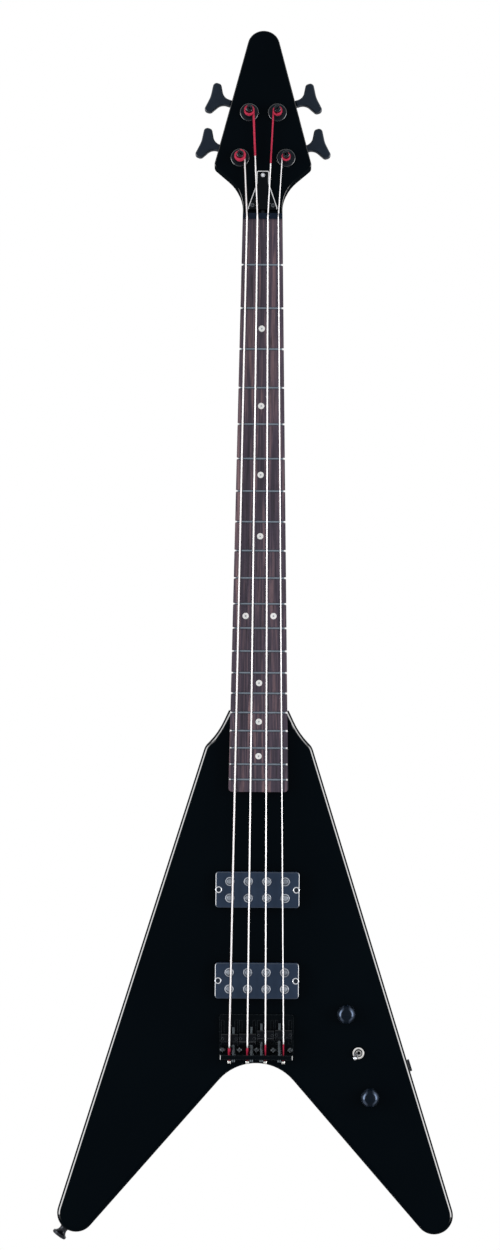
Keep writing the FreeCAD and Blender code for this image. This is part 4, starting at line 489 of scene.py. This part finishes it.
# Neck plate: a black plated steel plate laid on the back of the body, which spreads the load of the four long
# screws that pull the neck into its pocket.
black_plate = finish("black_plate", (0.012, 0.014, 0.018), (0.022, 0.026, 0.032), 0.22, 0.42, 70.0,
                     metallic=0.7, specular=0.4, rub=0.5, bare=(0.20, 0.21, 0.23))
dress(black_plate, "neck_plate")

# Tuning machines: black plated plates, posts and ferrules, a brass gear on each post, and a worm on the shaft
# of each clover key. The keys are cast and dull, with a slate sheen.
key_black = finish("key_black", (0.008, 0.013, 0.021), (0.018, 0.027, 0.042), 0.30, 0.48, 90.0, metallic=0.3,
                   specular=0.10, rub=0.35, bare=(0.10, 0.13, 0.18), buffed={"Amount": 0.35})
gear_brass = finish("gear_brass", (0.34, 0.23, 0.08), (0.52, 0.37, 0.15), 0.28, 0.5, 260.0, metallic=1.0,
                    rub=0.8, bare=(0.75, 0.60, 0.32))
ferrule_black = finish("ferrule_black", (0.003, 0.005, 0.008), (0.010, 0.014, 0.020), 0.14, 0.30, 160.0,
                       metallic=0.3, specular=0.10, rub=0.9, bare=(0.30, 0.34, 0.40), buffed={"Amount": 1.0})
dress(black_plate, "tuner_plates")
dress(ferrule_black, "tuner_ferrules")
string_names = ("e", "a", "d", "g")
for name in string_names:
    dress(key_black, "tuner_key_" + name)
    dress(gear_brass, "tuner_gear_" + name)
    dress(ferrule_black, "tuner_post_" + name)

# Screws: black plated steel with domed heads and a cross recess, in the neck plate, bridge, strap buttons,
# tuner plates and covers. Each set takes its places and sizes from the plain screws of the frame.
screw_black = finish("screw_black", (0.014, 0.016, 0.020), (0.030, 0.034, 0.040), 0.25, 0.45, 240.0,
                     metallic=0.8, rub=0.8, bare=(0.32, 0.34, 0.38))
shank_end_share = 0.3
rim_share = 0.9


def screw_frame(points):
    """Placement with its third axis out of the head, and the head's and shank's sizes, of one CAD screw."""
    middle = points.mean(0)
    axis = Vector(np.linalg.svd(points - middle, full_matrices=False)[2][0])
    along = (points - middle) @ np.array(axis)
    around = np.linalg.norm((points - middle) - np.outer(along, np.array(axis)), axis=1)
    if along[around.argmax()] < 0:
        axis, along = -axis, -along
    shank = np.median(around[along < along.min() + shank_end_share * np.ptp(along)])
    head_bottom = along[around > rim_share * around.max()].min()
    top = Vector(middle) + axis * along.max()
    turn = axis.to_track_quat("Z", "Y").to_matrix().to_4x4()
    return Matrix.Translation(top) @ turn, around.max(), along.max() - head_bottom, shank, np.ptp(along)


recess_share, recess_width_share, recess_depth_share = 0.62, 0.17, 0.55
dome_share, dome_steps = 0.6, 5
tip_share, taper_share = 0.4, 0.9
head_sides = 28


def cross_screw(head, height, shank, length):
    """Mesh of one domed screw, head at the origin, with a cross recess cut into it."""
    shape = bmesh.new()
    turns = [step / dome_steps * math.pi / 2 for step in range(dome_steps)]
    shaft = [(0, -length), (shank * tip_share, -length), (shank, -length * taper_share), (shank, -height)]
    dome = [(head * math.cos(turn), -height * dome_share + height * dome_share * math.sin(turn))
            for turn in turns]
    turned(shape, shaft + [(head, -height)] + dome + [(0, 0)], Matrix.Identity(4), head_sides)
    bmesh.ops.recalc_face_normals(shape, faces=shape.faces)
    solid = bpy.data.meshes.new("screw_blank")
    shape.to_mesh(solid)
    shape.free()
    cutter = bmesh.new()
    for turn in (0, math.pi / 2):
        bmesh.ops.create_cube(cutter, size=1, matrix=Matrix.Rotation(turn, 4, "Z") @ Matrix.Diagonal(
            (2 * head * recess_share, 2 * head * recess_width_share, 2 * height * recess_depth_share, 1)))
    punch_mesh = bpy.data.meshes.new("recess_punch")
    cutter.to_mesh(punch_mesh)
    cutter.free()
    blank = bpy.data.objects.new("screw_blank", solid)
    punch = bpy.data.objects.new("recess_punch", punch_mesh)
    for helper in (blank, punch):
        bpy.context.collection.objects.link(helper)
    cut = blank.modifiers.new("recess", "BOOLEAN")
    cut.operation, cut.object, cut.solver, cut.use_self = "DIFFERENCE", punch, "EXACT", True
    ready = bpy.data.meshes.new_from_object(blank.evaluated_get(bpy.context.evaluated_depsgraph_get()))
    for helper in (blank, punch):
        bpy.data.objects.remove(helper)
    return ready


screw_nickel = finish("screw_nickel", (0.52, 0.55, 0.60), (0.86, 0.88, 0.92), 0.14, 0.30, 240.0, metallic=1.0)
screw_steel = finish("screw_steel", (0.008, 0.010, 0.012), (0.028, 0.032, 0.036), 0.16, 0.32, 240.0,
                     metallic=1.0, rub=1.6, bare=(0.40, 0.44, 0.48))


def on_cover_top(spot):
    """Whether a screw stands at the narrow end of the rod cover."""
    from_foot = spot.translation - head_foot
    return from_foot.dot(head_out) > 0 and from_foot.dot(head_up) > cover_waist


for node in ("neck_screws", "bridge_screws", "strap_button_screws", "small_screws"):
    placed = [screw_frame(points) for points in islands(node)]
    black_set, nickel_set = bmesh.new(), bmesh.new()
    for spot, head, height, shank, length in placed:
        single = cross_screw(head, height, shank, length)
        single.transform(spot)
        (nickel_set if on_cover_top(spot) else black_set).from_mesh(single)
    steel = screw_steel if node == "bridge_screws" else screw_black
    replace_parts(piece(node + "_crossed", black_set, steel, "instrument"), node)
    if node == "small_screws":
        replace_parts(piece("cover_screw_crossed", nickel_set, screw_nickel, "instrument"), node)
    else:
        nickel_set.free()

# Strings: a steel core wound with round steel wire, with a painted highlight down the front and painted shade
# on the sides, and red silk over both ends. Each hangs by its ball behind the bridge, bends over its saddle
# and the nut, and winds on its post.

# Painted side shade: a mask over what does not face the front, which takes a painted shade colour while the
# front keeps a painted highlight
side_shading, given, result = shader_group("painted_side_shade", {"Bright": 0.92, "Dull": 0.62}, ("Shade",))
surface = add(side_shading, "NewGeometry")
parts = add(side_shading, "SeparateXYZ", {0: surface.outputs["Normal"]})
fronting = calc(side_shading, "MULTIPLY", parts.outputs["Y"], -1.0)
shaded = add(side_shading, "MapRange", {"Value": fronting, "From Min": given.outputs["Bright"],
                                    "From Max": given.outputs["Dull"]}, interpolation_type="SMOOTHSTEP")
side_shading.links.new(shaded.outputs["Result"], result.inputs["Shade"])


def paint_side_shade(material, shade_colour, **reach):
    """Paints shade on the sides of a bright metal that do not face the front, leaving a painted highlight
    along the front.
    """
    tree = material.node_tree
    base = tree.nodes["Principled BSDF"].inputs["Base Color"]
    mask = add(tree, "Group", reach, node_tree=side_shading).outputs["Shade"]
    tree.links.new(mix(tree, mask, base.links[0].from_socket, shade_colour), base)


bright_core = 0.00115
widest_core_share = 0.95
bright_fade, shade_fade = 0.05, 0.12
# Colour of the painted shade on the strings' sides
string_side_shade = (0.07, 0.055, 0.055)
winding_scale, winding_depth, winding_strength = 500.0, 0.0001, 0.25


def string_steel(name, diameter):
    """Round-wound steel with its ridges, with a painted highlight along the front and painted shade on the
    sides.
    """
    material = finish(name, (0.76, 0.745, 0.755), (0.95, 0.93, 0.94), 0.30, 0.46, 300.0, metallic=1.0)
    edge = math.sqrt(1 - min(bright_core / diameter, widest_core_share) ** 2)
    paint_side_shade(material, string_side_shade, Bright=edge + bright_fade, Dull=edge - shade_fade)
    tree = material.node_tree
    place = add(tree, "TexCoord").outputs["Object"]
    winding = add(tree, "TexWave", {"Vector": place, "Scale": winding_scale}, bands_direction="Z")
    ridges = add(tree, "Bump", {"Height": winding.outputs["Fac"], "Strength": winding_strength,
                                "Distance": winding_depth})
    tree.links.new(ridges.outputs["Normal"], tree.nodes["Principled BSDF"].inputs["Normal"])
    return material


silk_red = finish("silk_red", (0.30, 0.006, 0.030), (0.62, 0.030, 0.085), 0.45, 0.75, 900.0, specular=0.3,
                  skin_depth=0.5)
ball_brass = finish("ball_brass", (0.74, 0.73, 0.70), (0.95, 0.94, 0.92), 0.15, 0.35, 400.0, metallic=1.0)
ferrule_height = 0.0022
winding_floor = 0.0005
waist_radius = 0.0034
turn_gap = 0.0005
turn_points = 24
bend_points = 6
bend_reach = 0.0022
silk_grow = 0.00006
ball_half, ball_radius = 0.0016, 0.0025
spool_shares = ((0, -1), (0.9, -1), (1, -0.7), (0.72, -0.3), (0.72, 0.3), (1, 0.7), (0.9, 1), (0, 1))
ball_y, ball_z, wall_z = -0.0041, -0.88955, -0.8805
nut_z = 0.002

# Per string: diameter, turns, place across the bridge, break over the saddle (y, z), point on the nut (x, y),
# side and place of the post on the headstock, and height above the nut where the red silk starts (None means
# at the post)
string_routes = {
    "e": (0.00260, 2.25, -0.02857, (-0.01178, -0.87330), (-0.0165, -0.00885), -1, (0.0243, 0.0620), None),
    "a": (0.00205, 2.50, -0.00952, (-0.01270, -0.87280), (-0.0055, -0.00898), -1, (0.0149, 0.1129), 0.067),
    "d": (0.00160, 2.75, 0.00952, (-0.01247, -0.86930), (0.0055, -0.00875), 1, (0.0149, 0.1129), 0.059),
    "g": (0.00120, 3.00, 0.02857, (-0.01108, -0.86880), (0.0165, -0.00815), 1, (0.0243, 0.0620), None),
}


def bend(before, corner, after, reach):
    """Points of a soft corner in a taut wire."""
    start = corner + (before - corner).normalized() * reach
    end = corner + (after - corner).normalized() * reach
    steps = [step / bend_points for step in range(bend_points + 1)]
    return [start * (1 - t) ** 2 + corner * 2 * t * (1 - t) + end * t ** 2 for t in steps]


def wire(name, points, radius, material, body, sides=3):
    """Round wire through points, as a mesh."""
    curve = bpy.data.curves.new(name, "CURVE")
    curve.dimensions = "3D"
    curve.bevel_depth = radius
    curve.bevel_resolution = sides
    curve.use_fill_caps = True
    line = curve.splines.new("POLY")
    line.points.add(len(points) - 1)
    for spot, point in zip(line.points, points):
        spot.co = (*point, 1)
    route = bpy.data.objects.new(name + "_route", curve)
    bpy.context.collection.objects.link(route)
    data = bpy.data.meshes.new_from_object(route.evaluated_get(bpy.context.evaluated_depsgraph_get()))
    bpy.data.objects.remove(route)
    shape = bmesh.new()
    shape.from_mesh(data)
    bmesh.ops.remove_doubles(shape, verts=shape.verts, dist=same_place)
    return piece(name, shape, material, body)


for name, (diameter, turns, bridge_x, crossing, nut, side, post, silk_at) in string_routes.items():
    ball, wall = Vector((bridge_x, ball_y, ball_z)), Vector((bridge_x, ball_y, wall_z))
    crossing, nut = Vector((bridge_x, *crossing)), Vector((*nut, nut_z))
    across, along = post
    radius = waist_radius + diameter / 2
    low = ferrule_height + winding_floor + diameter / 2
    start = Vector((side * nut.x, (nut - head_foot).dot(head_up), (nut - head_foot).dot(head_out)))
    span = Vector((across - start.x, along - start.y))
    aim = math.atan2(span.y, span.x) + math.asin(radius / span.length)

    def on_post(angle):
        """Point on the winding after turning this far past the touch point."""
        at = aim + math.pi / 2 - angle
        height = low + (diameter + turn_gap) * angle / (2 * math.pi)
        return (head_foot + Vector((side * (across + radius * math.cos(at)), 0, 0))
                + head_up * (along + radius * math.sin(at)) + head_out * height)

    touch = on_post(0)
    steps = round(turns * turn_points)
    rounds = [on_post(turns * 2 * math.pi * step / steps) for step in range(steps + 1)]
    silk_start = nut.lerp(touch, silk_at / touch.z) if silk_at else touch
    over_saddle = bend(wall, crossing, nut, bend_reach)
    lower_silk = [ball] + bend(ball, wall, crossing, bend_reach) + over_saddle[:2]
    speaking = over_saddle[1:] + bend(crossing, nut, touch, bend_reach) + [silk_start]
    upper_silk = ([silk_start] if silk_at else []) + rounds
    bright_steel = string_steel(f"string_{name}_steel", diameter)
    steel = wire(f"string_{name}_wire", speaking, diameter / 2, bright_steel, "instrument")
    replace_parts(steel, "string_" + name)
    silk_radius = diameter / 2 + silk_grow
    for end, silk in (("bridge", lower_silk), ("post", upper_silk)):
        wire(f"string_{name}_{end}_silk", silk, silk_radius, silk_red, "instrument")
    spool = bmesh.new()
    turned(spool, [(ball_radius * wide, ball_half * high) for wide, high in spool_shares],
           Matrix.Translation(ball) @ Matrix.Rotation(math.pi / 2, 4, "Y"))
    piece(f"string_{name}_ball", spool, ball_brass, "instrument")

# Bridge: a bent steel plate, black plated, with an upright end wall for the string ends. Each saddle is a
# black block on two small height screws, drawn back by a long screw through the wall against a spring.
bridge_black = finish("bridge_black", (0.0005, 0.0014, 0.0024), (0.0020, 0.0036, 0.0052), 0.24, 0.42, 110.0,
                      specular=0.025, rub=0.8, bare=(0.12, 0.14, 0.16), buffed={"Amount": 1.0})
saddle_black = finish("saddle_black", (0.0014, 0.0020, 0.0032), (0.0048, 0.0062, 0.0088), 0.22, 0.42, 200.0,
                      specular=0.05, rub=0.9, bare=(0.20, 0.23, 0.26), buffed={"Amount": 0.4})
bridge_steel = finish("bridge_steel", (0.020, 0.026, 0.030), (0.085, 0.098, 0.108), 0.25, 0.45, 260.0,
                      metallic=1.0, rub=0.6, bare=(0.30, 0.32, 0.35))
dress(bridge_black, "bridge_plate")
spring_wire = 0.0003
spring_radius = 0.0021
spring_turns = 5.5
spring_lead = 0.0010
coil_points = 20
for name in string_names:
    dress(saddle_black, "saddle_" + name)
    dress(bridge_steel, "intonation_screw_" + name)
    low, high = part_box("intonation_spring_" + name)
    middle = (low + high) / 2
    coil_low, coil_high = low.z + spring_lead, high.z - spring_lead
    count = round(spring_turns * coil_points)
    coil = [Vector((middle.x + spring_radius, middle.y, low.z))]
    coil += [Vector((middle.x + spring_radius * math.cos(2 * math.pi * step / coil_points),
                     middle.y + spring_radius * math.sin(2 * math.pi * step / coil_points),
                     coil_low + (coil_high - coil_low) * step / count)) for step in range(count + 1)]
    coil.append(Vector((coil[-1].x, coil[-1].y, high.z)))
    spring = wire(f"intonation_spring_{name}_coil", coil, spring_wire, bridge_steel, None, 2)
    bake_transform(spring)
    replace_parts(spring, "intonation_spring_" + name)

# Pickups: moulded covers of satin slate-black plastic over two rows of iron pole discs, set proud of the body
# on foam and held by a height screw at each end.
pole_pitch = 0.0195
pole_row = 0.00875
pole_radius = 0.00475
screw_across = 0.041
screw_radius = 0.0029
pole_proud = 0.0004
ring_inner, ring_rise, inner_bevel, outer_bevel = 0.0036, 0.0003, 0.0001, 0.0003
core_radius, cap_height, cap_round = 0.0031, 0.0005, 0.0008
round_steps = 6
cap_turns = [math.pi / 2 * step / round_steps for step in range(round_steps + 1)]
# Profiles of turned trim are (radius, height) pairs
core_profile = [(core_radius - cap_round + cap_round * math.cos(turn), cap_height * math.sin(turn))
                for turn in cap_turns] + [(0, cap_height)]
ring_profile = [(ring_inner, 0), (ring_inner + inner_bevel, ring_rise),
                (pole_radius - outer_bevel, ring_rise), (pole_radius, 0)]
eyelet_profile = [(0.0024, -0.0004), (0.0025, 0.0001), (0.0030, 0.0003), (0.0034, 0.0001), (0.0035, -0.0004)]
mask_inner, mask_outer = 0.96, 1.04
front_normal = -0.9
iron_dark = (0.020, 0.026, 0.038)
pole_columns = (-1.5, -0.5, 0.5, 1.5)
pole_iron = finish("pole_iron", (0.01, 0.015, 0.03), (0.40, 0.44, 0.50), 0.14, 0.32, 75.0, metallic=1.0)
# The rings round the pole cores take a much paler iron, a painted highlight ring
pole_ring_highlight = finish("pole_ring_highlight", (0.04, 0.05, 0.07), (0.66, 0.70, 0.78), 0.16, 0.34, 90.0, metallic=1.0)


def pickup_cover(name, middle_z):
    """Satin cover plastic, with dark iron round the pole discs and on the screw heads of its front."""
    material = finish(name, (0.012, 0.022, 0.044), (0.027, 0.044, 0.078), 0.28, 0.46, 45.0, specular=0.10,
                      skin_depth=0.05, rub=0.5, bare=(0.20, 0.24, 0.30),
                      buffed={"Ends": 0.85, "Face": 0.98, "Side": 0.30}, polish=3.2)
    tree = material.node_tree
    shader = tree.nodes["Principled BSDF"]
    place = add(tree, "SeparateXYZ", {0: add(tree, "TexCoord").outputs["Object"]})
    facing = add(tree, "SeparateXYZ", {0: add(tree, "NewGeometry").outputs["Normal"]})
    across = calc(tree, "ABSOLUTE", place.outputs["X"])
    along = calc(tree, "ABSOLUTE", calc(tree, "SUBTRACT", place.outputs["Z"], middle_z))
    column = calc(tree, "SUBTRACT", calc(tree, "WRAP", place.outputs["X"], pole_pitch, 0.0), pole_pitch / 2)

    def disc(x, z, radius):
        """Mask of a round spot, from the distances to its middle."""
        offset = add(tree, "CombineXYZ", {"X": x, "Z": z})
        distance = add(tree, "VectorMath", {0: offset.outputs[0]}, operation="LENGTH")
        spot = add(tree, "MapRange", {"Value": distance.outputs["Value"], "From Min": radius * mask_outer,
                                      "From Max": radius * mask_inner})
        return spot.outputs["Result"]

    poles = calc(tree, "MULTIPLY", disc(column, calc(tree, "SUBTRACT", along, pole_row), pole_radius),
                 calc(tree, "LESS_THAN", across, 2 * pole_pitch))
    screws = disc(calc(tree, "SUBTRACT", across, screw_across), along, screw_radius)
    front = calc(tree, "LESS_THAN", facing.outputs["Y"], front_normal)
    metal = calc(tree, "MULTIPLY", calc(tree, "MAXIMUM", poles, screws), front)
    base = shader.inputs["Base Color"]
    tree.links.new(metal, shader.inputs["Metallic"])
    tree.links.new(mix(tree, metal, base.links[0].from_socket, iron_dark), base)
    return material


for node in ("neck_pickup", "bridge_pickup"):
    low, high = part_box(node)
    middle_z = (low.z + high.z) / 2
    dress(pickup_cover(node + "_cover", middle_z), node)
    caps, rings, eyelets = bmesh.new(), bmesh.new(), bmesh.new()
    out = Matrix.Rotation(math.pi / 2, 4, "X")
    for column in pole_columns:
        for row in (-1, 1):
            spot = Matrix.Translation((column * pole_pitch, low.y, middle_z + row * pole_row))
            turned(caps, core_profile, spot @ out)
            turned(rings, ring_profile, spot @ out)
    for side in (-1, 1):
        spot = Matrix.Translation((side * screw_across, low.y + pole_proud, middle_z))
        turned(eyelets, eyelet_profile, spot @ out)
    piece(node + "_pole_caps", caps, pole_iron, node)
    piece(node + "_pole_rings", rings, pole_ring_highlight, node)
    piece(node + "_eyelets", eyelets, screw_nickel, node)
foam_grey = finish("foam_grey", (0.05, 0.05, 0.052), (0.09, 0.09, 0.094), 0.8, 0.95, 500.0, specular=0.2,
                   skin_depth=0.6)
dress(foam_grey, "pickup_foam")

# Controls: two domed black plastic knobs on potentiometers, and a small chrome bat switch in a round dress
# nut. The cavity behind them is closed by a black plastic cover.
# The knobs carry a painted bluish sheen over the rims of their sides
knob_plastic = finish("knob_plastic", (0.0020, 0.0044, 0.0090), (0.0050, 0.0090, 0.0160), 0.10, 0.24, 80.0,
                      specular=0.04, skin_depth=0.01, painted_rim_sheen=(0.072, 0.096, 0.142),
                      buffed={"Amount": 0.9, "Ends": 1.0, "Face": 0.86, "Side": -0.1})
chrome = finish("chrome", (0.50, 0.54, 0.60), (0.90, 0.92, 0.95), 0.05, 0.16, 420.0, metallic=1.0)
# The lever's chrome gets painted shade on its sides, and keeps a painted highlight only where it faces the
# front
lever_painted_shade = (0.12, 0.135, 0.165)
paint_side_shade(chrome, lever_painted_shade, Bright=0.78, Dull=0.38)
lip_chrome = finish("lip_chrome", (0.40, 0.39, 0.38), (0.95, 0.94, 0.92), 0.05, 0.16, 420.0, metallic=1.0)
# The panel nuts are nickel painted near black, a painted dark reflection, with the switch nut's bright chrome
# rings on top
nut_nickel_painted_dark = finish("nut_nickel_painted_dark", (0.004, 0.005, 0.007), (0.016, 0.019, 0.024), 0.10, 0.25, 300.0,
                    metallic=1.0, rub=0.4, bare=(0.12, 0.13, 0.15))
lip_profile = [(0.0040, -0.0002), (0.0041, 0.0003), (0.0046, 0.0005), (0.0056, 0.0005), (0.0061, 0.0003),
               (0.0062, -0.0002)]
bushing_profile = [(0.00235, -0.0003), (0.0024, 0.0001), (0.0027, 0.0002), (0.0030, 0.0001),
                   (0.00312, -0.0003)]
bushing_rise = 0.0020
lip_sides = 36
cavity_plastic = finish("cavity_plastic", (0.008, 0.009, 0.011), (0.016, 0.018, 0.021), 0.38, 0.6, 140.0,
                        specular=0.3, skin_depth=0.12)
can_steel = finish("can_steel", (0.32, 0.32, 0.33), (0.50, 0.50, 0.51), 0.3, 0.55, 140.0, metallic=1.0)
dress(knob_plastic, "volume_knob", "tone_knob")
dress(chrome, "toggle_lever")
dress(nut_nickel_painted_dark, "panel_nuts")
lever_low, lever_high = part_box("toggle_lever")
lever_middle = (lever_low + lever_high) / 2
switch_nut = min(islands("panel_nuts"), key=lambda points: (Vector(points.mean(0)) - lever_middle).xz.length)
nut_low, nut_high = switch_nut.min(0), switch_nut.max(0)
lip = bmesh.new()
for profile, rise in ((lip_profile, 0), (bushing_profile, bushing_rise)):
    spot = Vector(((nut_low[0] + nut_high[0]) / 2, nut_low[1] - rise, (nut_low[2] + nut_high[2]) / 2))
    turned(lip, profile, Matrix.Translation(spot) @ Matrix.Rotation(math.pi / 2, 4, "X"), lip_sides)
piece("switch_bright_rings", lip, lip_chrome, "instrument")
dress(cavity_plastic, "control_cover", "switch_body")
dress(can_steel, "potentiometers")

# Output jack: a black plated barrel socket let into the edge of the wing. An oval plate with two screws
# closes the hole round it.
dress(black_plate, "output_jack", "jack_plate")

# Strap buttons: turned metal buttons, black plated, one on the tip of the left wing and one behind the heel.
# A wood screw through the middle holds each.
button_black = finish("button_black", (0.010, 0.011, 0.015), (0.022, 0.025, 0.033), 0.16, 0.32, 150.0,
                      metallic=0.7, rub=0.8, bare=(0.34, 0.37, 0.44))
dress(button_black, "strap_buttons")

# Wiring: black insulated leads from the pickups to the switch, the pots and the jack, and one disc capacitor
# on the back of the tone pot. All of it lies out of sight in the routed hollows.
lead_black = finish("lead_black", (0.010, 0.010, 0.011), (0.022, 0.022, 0.024), 0.4, 0.6, 300.0, specular=0.3,
                    skin_depth=0.1)
capacitor_glaze = finish("capacitor_glaze", (0.40, 0.15, 0.03), (0.58, 0.25, 0.06), 0.2, 0.4, 300.0)
dress(lead_black, "wiring")
dress(capacitor_glaze, "tone_capacitor")
